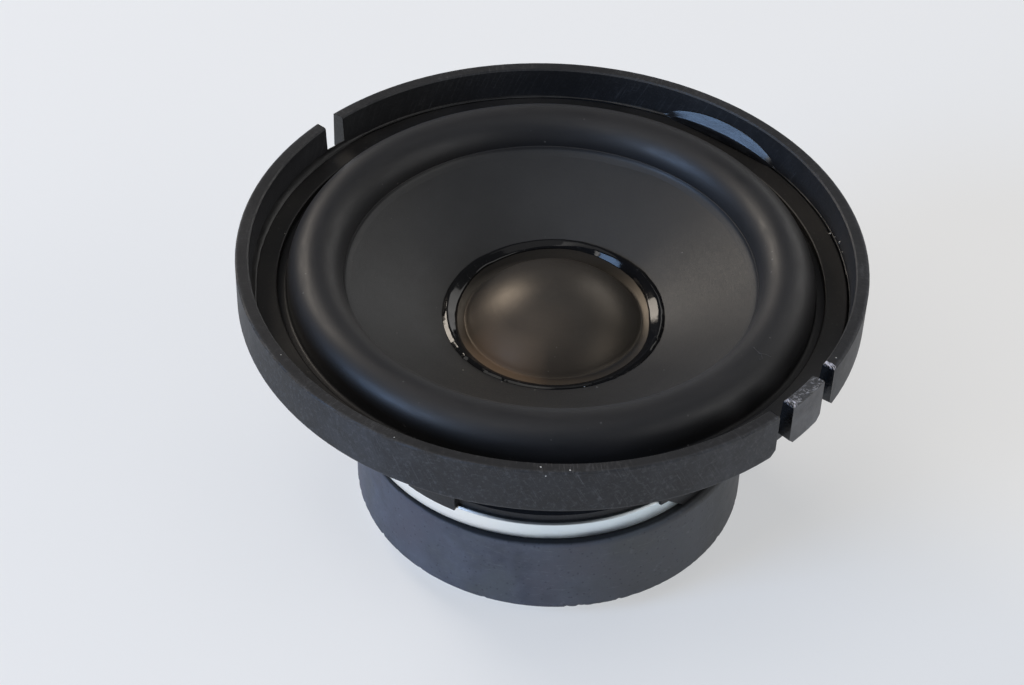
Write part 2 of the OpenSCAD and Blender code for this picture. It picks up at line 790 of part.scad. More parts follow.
// Screw that holds the terminal board to the pad
module board_screw() {
    head_y = board_y1 + glue;
    head_r = 2.1;
    head_t = 1.3;
    color([0.7, 0.7, 0.72]) at_terminal() translate([0, 0, rivet_z]) rotate([-90, 0, 0]) difference() {
        union() {
            translate([0, 0, head_y]) cylinder(r = head_r, h = head_t);
            translate([0, 0, pad_y - pad_t + 2 * hole_fit]) cylinder(r = board_screw_r, h = head_y - pad_y + pad_t);
        }
        for (a = [0, 90]) rotate([0, 0, a])
            translate([-head_r * 0.6, -0.25, head_y + head_t - 0.7]) cube([head_r * 1.2, 0.5, past]);
    }
}

// Zinc-plated plate in front of the magnet
module front_plate() {
    edge = 0.25;
    color([0.8, 0.86, 0.9]) difference() {
        rotate_extrude() polygon([
            [plate_bore_r, plate_z0 + glue],
            [plate_d / 2 - edge, plate_z0 + glue],
            [plate_d / 2, plate_z0 + glue + edge],
            [plate_d / 2, plate_z1 - glue - edge],
            [plate_d / 2 - edge, plate_z1 - glue],
            [plate_bore_r, plate_z1 - glue]
        ]);
        for (a = screw_angles)
            rotate([0, 0, a]) translate([screw_circle_r, 0, plate_z0 - past])
                cylinder(d = screw_d + 2 * hole_fit, h = plate_t + 2 * past);
    }
}

// Ferrite ring magnet
module magnet() {
    r1 = magnet_d / 2;
    color([0.3, 0.3, 0.34]) translate([magnet_shift, 0, 0]) rotate_extrude() polygon([
        [magnet_bore / 2, yoke_t + magnet_edge],
        [magnet_bore / 2 + magnet_edge, yoke_t],
        [r1 - magnet_edge, yoke_t],
        [r1, yoke_t + magnet_edge],
        [r1, plate_z0 - magnet_edge],
        [r1 - magnet_edge, plate_z0],
        [magnet_bore / 2 + magnet_edge, plate_z0],
        [magnet_bore / 2, plate_z0 - magnet_edge]
    ]);
}

// Yoke: the back disc and the pole in one piece
module yoke() {
    r1 = yoke_d / 2;
    pole_edge = 0.4;
    pole_z1 = plate_z1 + 0.3;
    color([0.62, 0.64, 0.68]) rotate_extrude() polygon([
        [0, 0],
        [r1 - yoke_edge, 0],
        [r1, yoke_edge],
        [r1, yoke_t - glue],
        [pole_r, yoke_t - glue],
        [pole_r, pole_z1 - pole_edge],
        [pole_r - pole_edge, pole_z1],
        [0, pole_z1]
    ]);
}

// Four screws through the cup's floor into the front plate
module plate_screws() {
    head_z = plate_z1 + floor_t + glue;
    shank_z0 = plate_z0 + 0.6;
    color([0.7, 0.7, 0.72]) for (a = screw_angles)
        rotate([0, 0, a]) translate([screw_circle_r, 0, 0]) difference() {
            union() {
                translate([0, 0, head_z]) cylinder(d = screw_head_d, h = screw_head_h);
                translate([0, 0, shank_z0]) cylinder(d = screw_d, h = head_z - shank_z0 + merge);
            }
            for (turn = [0, 90]) rotate([0, 0, turn])
                translate([-screw_head_d * 0.3, -0.35, head_z + screw_head_h - 0.9])
                    cube([screw_head_d * 0.6, 0.7, past]);
        }
}

basket();
clamp_ring();
surround();
cone();
dust_cap();
dust_cap_glue();
neck_glue();
coil_former();
coil_winding();
coil_tails();
spider();
spider_glue();
lead_plus();
lead_minus();
lead_dabs();
terminal_board();
terminal_plus();
terminal_minus();
terminal_rivets();
board_screw();
front_plate();
magnet();
yoke();
plate_screws();
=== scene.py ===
import random
from math import asin, atan2, cos, degrees, exp, hypot, log, pi, radians, sin, sqrt, tan, tau
import bpy
import bmesh
import numpy as np
from mathutils import Matrix, Vector, noise


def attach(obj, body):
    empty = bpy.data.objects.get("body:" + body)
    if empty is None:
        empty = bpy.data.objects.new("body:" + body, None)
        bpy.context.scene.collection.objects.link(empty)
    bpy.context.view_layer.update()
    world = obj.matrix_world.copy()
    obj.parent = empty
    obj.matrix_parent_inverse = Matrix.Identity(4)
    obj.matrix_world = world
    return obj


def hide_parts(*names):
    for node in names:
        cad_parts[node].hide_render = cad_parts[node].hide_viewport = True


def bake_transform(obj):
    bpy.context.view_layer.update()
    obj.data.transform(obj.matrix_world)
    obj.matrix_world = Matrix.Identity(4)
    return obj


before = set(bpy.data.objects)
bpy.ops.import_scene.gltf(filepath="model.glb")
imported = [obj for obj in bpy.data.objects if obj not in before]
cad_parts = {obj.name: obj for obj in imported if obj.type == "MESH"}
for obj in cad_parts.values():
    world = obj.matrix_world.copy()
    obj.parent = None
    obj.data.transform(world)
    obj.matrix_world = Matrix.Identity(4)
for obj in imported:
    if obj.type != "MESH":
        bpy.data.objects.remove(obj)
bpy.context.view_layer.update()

MM = 0.001
CHASSIS = "chassis"
MOVING = "moving_assembly"

# ---- sizes, in mm, as in the part
RIM_R, RIM_Z1 = 50, 51.6
LEDGE_Z = 44.2
WALL_FOOT_R, WALL_TOP_R, WALL_TOP_Z = 47.4, 47.9, 51.35
CLAMP_R0, CLAMP_R1, CLAMP_Z0, CLAMP_Z1 = 43.6, 47.2, 44.85, 46.1
ROLL_RC, ROLL_Z, ROLL_R, ROLL_T = 37.6, 46.3, 4.5, 0.55
FLANGE_Z = 44.25
CONE_R, CONE_Z = 33.65, 46
SLOPE = radians(27.4)
TAN = tan(SLOPE)
CONE_TV = 0.5 / cos(SLOPE)
NECK_R0 = 12.95
CAP_R, DOME_R, CAP_H, CAP_T = 17.2, 14.4, 7.4, 0.45
TAB_W, SLOT_W, BACK_SLOT_W = 7.9, 3, 4
KEY = radians(-39.4)
KEY_OFF = asin((TAB_W + SLOT_W) / 2 / RIM_R)
PLATE_Z0, PLATE_Z1 = 17.7, 21.3
MAGNET_R, MAGNET_BORE_R, MAGNET_Z0, MAGNET_SHIFT = 32.65, 16, 3, 1.1
SPIDER_Z = 32.77
TERMINAL = radians(93.1)

# directions round the axis, in degrees
LUMP_AT = 52    # the thick lump of glue at the foot of the wall, and the calm stretch of the bead
PALE_AT = 172   # the side where the wall's inner face is lightened as painted light and the roll is dull


def front_z(r):
    return CONE_Z - (CONE_R - r) * TAN


def back_z(r):
    return front_z(r) - CONE_TV


def brim_z(r):
    return front_z(r) + 0.05


BRIM_TV = CAP_T / cos(SLOPE)
DOME_Z = brim_z(DOME_R) + BRIM_TV
BALL_R = (DOME_R ** 2 + CAP_H ** 2) / (2 * CAP_H)
BALL_Z = DOME_Z + CAP_H - BALL_R


def polar_point(r, deg, z):
    a = radians(deg)
    return Vector((r * cos(a), r * sin(a), z)) * MM


def place(name, data):
    o = bpy.data.objects.new(name, data)
    bpy.context.collection.objects.link(o)
    return o


# ---- camera
FOCAL_PX, WIDE, HIGH = 2400, 1024, 685
SENSOR = 36
tilt, roll = radians(42.2268), radians(2.1)
# the rim's middle in the picture, in pixels, and its distance along the view, in metres
u0, v0, away = 552.7013, 247.6707, 0.379369
ahead = Vector((0, cos(tilt), -sin(tilt)))
level = Vector((1, 0, 0))
upward = level.cross(ahead)
cam_x = cos(roll) * level + sin(roll) * upward
cam_y = -sin(roll) * level + cos(roll) * upward
off_x = (u0 - WIDE / 2) / FOCAL_PX * away
off_y = -(v0 - HIGH / 2) / FOCAL_PX * away
spot = Vector((0, 0, RIM_Z1 * MM)) - (off_x * cam_x + off_y * cam_y + away * ahead)
cam_data = bpy.data.cameras.new("camera")
cam_data.sensor_width = SENSOR
cam_data.lens = FOCAL_PX / WIDE * SENSOR
cam_data.clip_start = 0.01
camera = place("camera", cam_data)
turn = Matrix((cam_x, cam_y, -ahead)).transposed().to_4x4()
camera.matrix_world = Matrix.Translation(spot) @ turn
bpy.context.scene.camera = camera


# ---- node helpers
class Net:
    """Short calls for building a material's node tree."""

    def __init__(self, name):
        self.m = bpy.data.materials.new(name)
        self.m.use_nodes = True
        self.t = self.m.node_tree
        self.t.nodes.clear()
        self.out = self.t.nodes.new("ShaderNodeOutputMaterial")

    def add(self, kind, **props):
        n = self.t.nodes.new("ShaderNode" + kind)
        for k, v in props.items():
            setattr(n, k, v)
        return n

    def link(self, a, b):
        self.t.links.new(a, b)

    def put(self, socket, value):
        if isinstance(value, bpy.types.NodeSocket):
            self.link(value, socket)
        elif isinstance(value, tuple) and len(value) == 3 and socket.type == "RGBA":
            socket.default_value = (*value, 1)
        else:
            socket.default_value = value

    def fill(self, node, **named):
        """Sets or links the node's inputs by name, with _ for a space."""
        for k, v in named.items():
            self.put(node.inputs[k.replace("_", " ")], v)

    def coords(self):
        return self.add("TexCoord").outputs["Object"]

    def split(self, vec):
        n = self.add("SeparateXYZ")
        self.link(vec, n.inputs[0])
        return n.outputs

    def join(self, x, y, z):
        n = self.add("CombineXYZ")
        self.fill(n, X=x, Y=y, Z=z)
        return n.outputs[0]

    def math(self, op, a, b=0, clamp=False):
        n = self.add("Math", operation=op, use_clamp=clamp)
        self.put(n.inputs[0], a)
        self.put(n.inputs[1], b)
        return n.outputs[0]

    def fold(self, op, terms):
        out = terms[0]
        for t in terms[1:]:
            out = self.math(op, out, t)
        return out

    def mul(self, *terms):
        return self.fold("MULTIPLY", terms)

    def plus(self, *terms):
        return self.fold("ADD", terms)

    def most(self, *terms):
        return self.fold("MAXIMUM", terms)

    def less(self, a, b):
        return self.math("SUBTRACT", a, b)

    def abs(self, a):
        return self.math("ABSOLUTE", a)

    def noise(self, vec, scale, detail=4, rough=0.55, warp=0):
        n = self.add("TexNoise")
        self.fill(n, Vector=vec, Scale=scale, Detail=detail, Roughness=rough, Distortion=warp)
        return n.outputs["Fac"]

    def streaks(self, vec, scale, detail=3, rough=0.6, warp=0, shift=(0, 0, 0)):
        """Noise with a scale of its own along each axis."""
        n = self.add("Mapping")
        self.fill(n, Vector=vec, Scale=scale, Location=shift)
        return self.noise(n.outputs[0], 1, detail, rough, warp)

    def cells(self, vec, scale):
        n = self.add("TexVoronoi", feature="F1")
        self.fill(n, Vector=vec, Scale=scale, Randomness=1)
        return n.outputs["Distance"]

    def ramp(self, fac, lo=0.3, hi=0.7, out_lo=0, out_hi=1):
        n = self.add("MapRange", clamp=True)
        self.fill(n, Value=fac, From_Min=lo, From_Max=hi, To_Min=out_lo, To_Max=out_hi)
        return n.outputs["Result"]

    def vary(self, fac, out_lo, out_hi):
        return self.ramp(fac, 0.3, 0.7, out_lo, out_hi)

    def band(self, length, lo, hi, out_lo=0, out_hi=1):
        """A ramp over a length between two values in mm."""
        return self.ramp(length, lo * MM, hi * MM, out_lo, out_hi)

    def mix(self, fac, a, b):
        n = self.add("Mix", data_type="RGBA")
        self.put(n.inputs["Factor"], fac)
        self.put(n.inputs[6], a)
        self.put(n.inputs[7], b)
        return n.outputs[2]

    def paint(self, col, *coats):
        """Lays coats (factor, colour) over a colour. A coat without a factor is left out."""
        for fac, coat in coats:
            if fac is not None:
                col = self.mix(fac, col, coat)
        return col

    def polar(self, vec):
        """Radius and angle round Z, and height."""
        x, y, z = self.split(vec)
        r = self.math("SQRT", self.plus(self.mul(x, x), self.mul(y, y)))
        return r, self.math("ARCTAN2", y, x), z

    def facing(self, angle, middle, full, none):
        """1 within `full` degrees of the angle `middle`, 0 beyond `none` degrees."""
        off = self.math("COSINE", self.less(angle, radians(middle)))
        return self.ramp(off, cos(radians(none)), cos(radians(full)))

    def bump(self, *layers):
        """Stacked bumps: (height, strength, distance in mm)."""
        last = None
        for height, strength, distance in layers:
            n = self.add("Bump")
            self.fill(n, Height=height, Strength=strength, Distance=distance * MM)
            if last is not None:
                self.link(last, n.inputs["Normal"])
            last = n.outputs[0]
        return last

    def shader(self, color, rough, normal=None, metallic=0, gloss=0.5, **named):
        n = self.add("BsdfPrincipled")
        self.fill(n, Base_Color=color, Roughness=rough, Metallic=metallic, Specular_IOR_Level=gloss, **named)
        if normal is not None:
            self.link(normal, n.inputs["Normal"])
        self.link(n.outputs[0], self.out.inputs["Surface"])
        return self.m


def begin(name):
    """A new material's net, its object coordinates, and radius, angle and height there."""
    k = Net(name)
    v = k.coords()
    return k, v, *k.polar(v)


def shade(color, factor):
    return tuple(c * factor for c in color)


# ---- materials
# specks of lint pressed into the rim: radius, angle, height and size
RIM_SPECKS = (
    (48.9, 268.7, 51.6, 0.17), (50, 269.6, 50.9, 0.14), (49.4, 273.6, 51.6, 0.15),
    (49, 331.5, 51.6, 0.13), (49.9, 266.2, 51.3, 0.10), (48.7, 214, 51.6, 0.10),
    (49.3, 243, 51.6, 0.10),
)


def basket_plastic(name, base, worn, rough=0.46, edge=False):
    """Satin moulded plastic: grain, cloudy sheen, hair scratches. Its outer side is scuffed grey, partly as
    painted light, with painted shade at its front, its left and in the key slots.
    """
    k = Net(name)
    v = k.coords()
    x, y, z = k.split(v)
    r, a, _ = k.polar(v)
    cloud = k.noise(v, 55, 5, 0.6)
    # long fine scratches that run round the rim, and short ones that cross it
    arc = k.mul(a, 0.05)
    hair = k.streaks(k.join(arc, z, k.mul(r, 0.4)), (900, 9000, 3000), 3, 0.65)
    across = k.join(k.plus(arc, k.mul(z, 0.5)), k.mul(z, 0.25), r)
    slant = k.streaks(across, (5200, 900, 700))
    scuff = k.mul(k.most(k.ramp(hair, 0.60, 0.74), k.ramp(slant, 0.57, 0.72)),
                  k.ramp(cloud, 0.35, 0.65, 0.25, 1))

    def slot(angle, half):
        """How far to the side of a slot's middle line, and 1 on the end faces of the wall there."""
        c, n = cos(angle), sin(angle)
        off = k.less(k.mul(y, c), k.mul(x, n))
        here = k.band(k.plus(k.mul(x, c), k.mul(y, n)), 40, 44)
        return off, k.mul(here, k.band(k.abs(off), half + 0.16, half + 0.06))

    left, left_end = slot(KEY - KEY_OFF, SLOT_W / 2)
    right, right_end = slot(KEY + KEY_OFF, SLOT_W / 2)
    _, back_end = slot(KEY + pi, BACK_SLOT_W / 2)
    ends = k.most(left_end, right_end, back_end)

    # the outer side of the rim, and most of all the tab between the key slots
    side = k.mul(k.band(r, RIM_R - 0.6, RIM_R - 0.2), k.band(z, 42.8, 43.3))
    key_half = k.band(x, 0, 10)
    between = k.mul(k.band(left, 1.3, 1.5), k.band(right, -1.3, -1.5))
    tab = k.mul(between, k.band(r, 47, 48), key_half)
    top = k.band(z, WALL_TOP_Z, WALL_TOP_Z + 0.13)
    tab_side = k.mul(tab, k.less(1, k.mul(top, 0.75)))
    worn_zone = k.most(side, tab)
    # pale burrs at the ends of the wall's top beyond each key slot, partly a painted highlight on those
    # corners, and a scratched top on the tab
    burr_and_highlight = k.most(*(k.band(k.abs(k.less(off, 2 * MM)), 0.65, 0.4) for off in (left, right)))
    strokes = k.join(k.plus(left, k.mul(r, 0.4)), r, z)
    strokes = k.ramp(k.streaks(strokes, (4200, 1200, 900)), 0.46, 0.56)
    nicks = k.mul(k.ramp(k.noise(v, 2300, 3, 0.7), 0.52, 0.62),
                  k.band(r, 47.8, 49.4, 0.25, 1), top, tab)
    blotch = k.ramp(k.noise(v, 210, 5, 0.62, 0.6), 0.36, 0.66)
    patch = k.ramp(k.noise(v, 130, 3, 0.6, 0.5), 0.45, 0.68)
    dust = k.ramp(k.noise(v, 900, 4, 0.75), 0.56, 0.78)
    flecked = k.ramp(k.noise(v, 1400, 5, 0.75), 0.52, 0.72)
    # stretches of the side at the front and the left, darkened as painted shade, and the inner side of the
    # wall, lightened at the left as painted light
    dimmed = k.most(k.facing(a, 268, 14, 34), k.mul(k.facing(a, 194, 24, 40), 1.6))
    inside = k.mul(k.band(r, WALL_TOP_R, WALL_TOP_R - 0.3), k.band(z, 45.5, 46.2),
                   k.facing(a, PALE_AT, 22, 50))
    wear = 0.8 if edge else k.math("ADD", k.mul(side, 0.35), 0.28, clamp=True)
    distances = []
    for at_r, deg, at_z, size in RIM_SPECKS:
        n = k.add("VectorMath", operation="DISTANCE")
        k.link(v, n.inputs[0])
        n.inputs[1].default_value = polar_point(at_r, deg, at_z)
        distances.append(k.mul(n.outputs["Value"], 1 / (size * MM)))
    ragged = k.mul(k.noise(v, 6000, 2, 0.5), 0.9)
    speck = k.ramp(k.plus(k.fold("MINIMUM", distances), ragged), 1.35, 1.15)
    col = k.paint(
        k.mix(k.ramp(cloud), base, shade(base, 1.35)),
        (k.mul(dust, 0.35), shade(base, 3.2)),
        # the outer side's paler bluish grey: scuffs, and partly painted light
        (k.mul(side, k.ramp(blotch, 0, 1, 0.12, 0.75)), (0.040, 0.0425, 0.049)),
        # painted shade on the side's front and left stretches
        (k.mul(side, dimmed, 0.58), shade(base, 0.8)),
        # painted light on the wall's inner face at the left
        (inside, shade(base, 2.3)),
        (k.mul(tab_side, k.ramp(blotch, 0, 1, 0.5, 1)), (0.125, 0.126, 0.131)),
        (k.mul(worn_zone, flecked, 0.4), (0.12, 0.122, 0.13)),
        (k.mul(scuff, wear), worn),
        (k.mul(patch, 0.75) if edge else None, worn),
        # painted shade on the wall's end faces inside the key slots
        (ends, shade(base, 0.55)),
        (k.mul(nicks, 0.8), (0.30, 0.30, 0.315)),
        # pale burrs, partly a painted highlight on the slot corners
        (k.mul(burr_and_highlight, top, key_half, strokes), (0.52, 0.51, 0.56)),
        (speck, (0.50, 0.49, 0.47)),
    )
    ro = k.plus(k.vary(cloud, rough - 0.05, rough + 0.07), k.mul(scuff, 0.14),
                k.mul(worn_zone, 0.12))
    ro = k.less(ro, k.mul(ends, 0.3))
    grain, pores = k.noise(v, 2600, 2, 0.5), k.cells(v, 1500)
    bump = k.bump((blotch, 0.25, 0.06), (grain, 0.4, 0.05), (pores, 0.12, 0.05), (scuff, 0.35, 0.04))
    return k.shader(col, ro, bump, gloss=0.42)


def ring_plastic():
    """The clamp ring's plastic, with faint lines round it."""
    k, v, r, a, z = begin("ring_plastic")
    lines = k.streaks(k.join(k.mul(a, 0.02), r, z), (300, 6000, 600))
    cloud = k.noise(v, 90, 4, 0.6)
    dust = k.ramp(k.noise(v, 1300, 4, 0.7), 0.6, 0.8)
    col = k.mix(k.ramp(cloud), (0.0085, 0.0083, 0.0085), (0.016, 0.0145, 0.0135))
    col = k.mix(k.mul(dust, 0.5), col, (0.11, 0.10, 0.09))
    return k.shader(col, k.vary(cloud, 0.36, 0.5),
                    k.bump((lines, 0.22, 0.04), (dust, 0.2, 0.05)), gloss=0.4)


def rubber():
    """Satin rubber with smears round the roll, fine dust and a few pale specks."""
    k, v, r, a, z = begin("surround_rubber")
    fine = k.noise(v, 3200, 3, 0.6)
    cloud = k.noise(v, 45, 4, 0.6)
    smear = k.streaks(k.join(k.mul(a, 0.04), r, z), (160, 700, 700), 4)
    dust = k.ramp(k.noise(v, 1700, 4, 0.8), 0.62, 0.8)
    specks = k.mul(k.ramp(k.cells(v, 430), 0.085, 0.04), k.ramp(k.noise(v, 60, 2), 0.5, 0.65))
    col = k.paint(
        k.mix(k.ramp(cloud), (0.0088, 0.0088, 0.0098), (0.0135, 0.013, 0.014)),
        (k.mul(dust, 0.3), (0.06, 0.058, 0.058)),
        (k.mul(specks, 0.5), (0.26, 0.25, 0.24)),
    )
    ro = k.plus(k.vary(smear, 0.43, 0.55), k.mul(dust, 0.1))
    dull = k.facing(a, PALE_AT, 15, 50)
    return k.shader(col, ro, k.bump((fine, 0.3, 0.03), (smear, 0.1, 0.12)),
                    gloss=k.ramp(dull, 0, 1, 0.37, 0.31),
                    Sheen_Weight=0.03, Sheen_Roughness=0.5)


def pulp(name, dark, light, rough, sheen, fibre=0.5, shine=0.4, tint=(1, 1, 1), glow_and_shade=False):
    """Pressed paper: a felt of short fibres, cloudy dye and lint. The cone has painted light on its left
    side; the cap has a painted brown glow and highlight at its lower left and painted shade at the back of
    its dome.
    """
    k, v, r, a, z = begin(name)
    warp = k.noise(v, 700, 2, 0.5)
    felt = k.most(k.streaks(v, (900, 5200, 2600), 4, 0.65, 1.2),
                  k.streaks(v, (5200, 900, 2600), 4, 0.65, 1.2, (3, 1, 0)))
    cloud = k.noise(v, 70, 5, 0.62)
    rings = k.streaks(k.join(k.mul(a, 0.01), r, z), (100, 900, 0))
    lint = k.mul(k.ramp(k.cells(v, 520), 0.06, 0.02), k.ramp(k.noise(v, 90, 2), 0.48, 0.62))
    col = k.paint(
        k.mix(k.ramp(cloud), dark, light),
        (k.ramp(felt, 0.62, 0.8, 0, 0.35), shade(light, 1.9)),
        (k.mul(lint, 0.5), (0.24, 0.23, 0.21)),
    )
    if glow_and_shade:
        # painted light on the cap's lower left: a brown glow over the dome and a brighter spot where a
        # highlight falls
        stain_and_glow = k.mul(k.facing(a, 228, 15, 75), k.band(r, 3, 9.5))
        spot = k.mul(k.facing(a, 236, 5, 34), k.band(r, 9.2, 13.2))
        # painted shade along the back edge of the dome
        back = k.mul(k.facing(a, 95, 40, 85), k.band(r, 14, 14.9))
        col = k.paint(
            col,
            (k.mul(stain_and_glow, k.ramp(cloud, 0.3, 0.6, 0.45, 0.8)), (0.072, 0.053, 0.037)),
            (k.mul(spot, 0.75), (0.150, 0.104, 0.070)),
            (k.mul(back, 0.7), (0.006, 0.006, 0.006)),
        )
        dull = k.mul(k.facing(a, 245, 15, 60), k.band(r, 2, 9), 0.6)
        shine = k.mul(k.less(1, k.most(dull, k.mul(back, 0.7))), shine)
    else:
        # painted light on the cone's left side, bluish grey
        lit_left = k.mul(k.facing(a, 176, 20, 60), k.band(r, 18, 22),
                      k.ramp(cloud, 0.3, 0.65, 0.25, 0.6))
        col = k.mix(lit_left, col, (0.034, 0.036, 0.039))
    return k.shader(col, k.ramp(felt, 0.4, 0.7, rough - 0.06, rough + 0.06),
                    k.bump((rings, 0.1, 0.2), (felt, fibre, 0.05), (warp, 0.1, 0.1)),
                    gloss=shine, Specular_Tint=tint,
                    Sheen_Weight=sheen, Sheen_Roughness=0.45)


def glue():
    """Glossy black glue with slow waves, calmer at the back right and livelier at the left."""
    k, v, _, a, _ = begin("black_glue")
    wave = k.noise(v, 260, 3, 0.5)
    dust = k.ramp(k.noise(v, 1500, 3, 0.7), 0.62, 0.8)
    col = k.mix(k.mul(dust, 0.3), (0.005, 0.005, 0.0055), (0.08, 0.078, 0.075))
    ro = k.plus(k.ramp(wave, 0.35, 0.7, 0.08, 0.14), k.mul(dust, 0.25))
    dimmed = k.plus(k.mul(k.facing(a, LUMP_AT, 18, 34), 0.52), k.mul(k.facing(a, 2, 14, 30), 0.22))
    dimmed = k.less(dimmed, k.mul(k.facing(a, 190, 18, 40), 0.28))
    return k.shader(col, ro, k.bump((wave, 0.09, 0.3)), gloss=k.mul(k.less(1, dimmed), 0.26))


def seam_glue():
    """Glue squeezed out under the wall: dull where it was wiped, glossy where it pooled."""
    k, v, r, a, z = begin("black_glue_seam")
    pooled = k.facing(a, LUMP_AT, 13, 20)
    wave = k.noise(v, 260, 3, 0.5)
    dust = k.ramp(k.noise(v, 1500, 3, 0.7), 0.6, 0.8)
    smear = k.streaks(k.join(k.mul(a, 0.047), r, z), (260, 1500, 1500), 4, 0.65)
    col = k.mix(k.ramp(smear, 0.35, 0.7), (0.0065, 0.0065, 0.007), (0.017, 0.0165, 0.0165))
    col = k.mix(k.mul(dust, 0.3), col, (0.09, 0.085, 0.08))
    ro = k.mul(k.vary(smear, 0.3, 0.42), k.less(1, k.mul(pooled, 0.45)))
    return k.shader(col, ro, k.bump((wave, 0.1, 0.3), (smear, 0.05, 0.1)),
                    gloss=k.ramp(pooled, 0, 1, 0.33, 0.2))


def plated(name, base, rough, spun=False, reflection_at=None):
    """Plated or bare metal with spangle, turning or drawing lines and a pale bloom. One side may be lightened
    as a painted reflection, under a dark line along the plate's top edge that is partly grime and partly
    painted shade."""
    k, v, r, a, z = begin(name)
    bloom = k.noise(v, 120, 5, 0.65)
    spangle = k.noise(v, 1800, 3, 0.6)
    if spun:
        lines = k.streaks(k.join(k.mul(a, 0.03), z, r), (60, 9000, 9000))
    else:
        lines = k.streaks(v, (6000, 400, 400))
    stain_and_glow = k.ramp(k.noise(v, 320, 5, 0.7), 0.62, 0.8)
    col = k.mix(k.ramp(bloom), base, tuple(min(1, c * 1.14) for c in base))
    col = k.mix(k.mul(stain_and_glow, 0.4), col, shade(base, 0.72))
    if reflection_at is not None:
        # a dark line along the plate's top edge: partly grime, partly painted shade under the basket
        grime_and_shade = k.band(k.plus(z, k.mul(stain_and_glow, 0.4 * MM)), PLATE_Z1 - 0.45, PLATE_Z1 - 0.15)
        # painted reflection: the side facing that angle is lightened
        col = k.paint(col, (k.mul(k.facing(a, reflection_at, 22, 48), 0.9), (0.98, 1, 1)),
                      (k.mul(grime_and_shade, 0.8), (0.09, 0.095, 0.10)))
    ro = k.plus(k.vary(bloom, rough - 0.05, rough + 0.1), k.mul(stain_and_glow, 0.15))
    return k.shader(col, ro, k.bump((lines, 0.16, 0.04), (spangle, 0.08, 0.03)), metallic=1)


def ferrite():
    """Fired ferrite: matte blue-grey, mottled, with grinding marks and chalky bruises, and painted shade on
    its right side.
    """
    k, v, r, a, z = begin("ferrite")
    mottle = k.noise(v, 170, 6, 0.68)
    blot = k.noise(v, 45, 3, 0.6, 0.6)
    grit = k.noise(v, 2400, 4, 0.7)
    hue = k.noise(v, 75, 4, 0.55, 0.4)
    pits = k.ramp(k.cells(v, 900), 0.22, 0.05)
    bruise = k.ramp(k.noise(v, 600, 5, 0.75), 0.6, 0.78)
    drag = k.streaks(k.join(k.mul(a, 0.03), z, r), (350, 2600, 200), 4, 0.7)
    # a dark film of glue on the top face, round the plate
    film = k.mul(k.band(k.plus(z, k.mul(mottle, 0.6 * MM)), PLATE_Z0 - 0.05, PLATE_Z0 + 0.15),
                 k.band(k.plus(r, k.mul(mottle, 0.5 * MM)), 32.8, 32.3))
    col = k.paint(
        k.mix(k.ramp(mottle), (0.050, 0.053, 0.067), (0.112, 0.119, 0.143)),
        (k.ramp(blot, 0.4, 0.7, 0, 0.5), (0.105, 0.11, 0.13)),
        (k.ramp(hue, 0.36, 0.50, 0.5, 0), (0.088, 0.094, 0.090)),
        (k.ramp(hue, 0.52, 0.66, 0, 0.5), (0.093, 0.087, 0.106)),
        # painted shade: greyer on the magnet's right-front, darker on its right
        (k.mul(k.facing(a, 315, 15, 50), 0.55), (0.078, 0.081, 0.080)),
        (k.mul(k.facing(a, 350, 10, 32), 0.7), (0.045, 0.047, 0.05)),
        (k.mul(k.most(bruise, k.ramp(drag, 0.6, 0.8)), 0.45), (0.20, 0.21, 0.225)),
        (k.mul(pits, 0.6), (0.03, 0.032, 0.04)),
        (k.mul(film, 0.95), (0.004, 0.005, 0.007)),
    )
    return k.shader(col, k.vary(mottle, 0.56, 0.72),
                    k.bump((mottle, 0.25, 0.3), (grit, 0.35, 0.06), (pits, 0.2, 0.1)),
                    gloss=0.3)


def woven(k, one, two, sharp):
    """Height of two crossing yarns, from the sines that run across each."""
    over = k.ramp(k.mul(one, two), -sharp, sharp)
    return k.plus(k.mul(k.abs(one), over), k.mul(k.abs(two), k.less(1, over)))


def spider_cloth():
    """Plain woven cloth stiffened with resin."""
    k = Net("spider_cloth")
    v = k.coords()
    x, y, _ = k.split(v)
    dark, light, step = (0.16, 0.1, 0.04), (0.5, 0.36, 0.16), tau / 0.0009
    h = woven(k, k.math("SINE", k.mul(x, step)), k.math("SINE", k.mul(y, step)), 0.25)
    cloud = k.noise(v, 60, 4, 0.6)
    fray = k.noise(v, 5000, 2, 0.6)
    # painted shade in the weave's hollows
    col = k.mix(k.ramp(h, 0.1, 0.9), dark, light)
    col = k.mix(k.ramp(cloud, 0.3, 0.75, 0, 0.35), col, dark)
    return k.shader(col, 0.72, k.bump((h, 0.8, 0.12), (fray, 0.2, 0.03)), gloss=0.35,
                    Sheen_Weight=0.15, Sheen_Roughness=0.5)


def wound_copper():
    """Fine lacquered wire wound side by side."""
    k = Net("copper_wire")
    v = k.coords()
    turns = k.abs(k.math("SINE", k.mul(k.split(v)[2], pi / 0.00022)))
    cloud = k.noise(v, 200, 3, 0.6)
    # painted shade in the grooves between the turns
    col = k.mix(k.ramp(turns, 0, 0.7), (0.22, 0.07, 0.03), (0.72, 0.31, 0.16))
    col = k.mix(k.ramp(cloud, 0.4, 0.7, 0, 0.3), col, (0.5, 0.19, 0.1))
    return k.shader(col, 0.28, k.bump((turns, 0.7, 0.1)), metallic=1, Coat_Weight=0.6, Coat_Roughness=0.12)


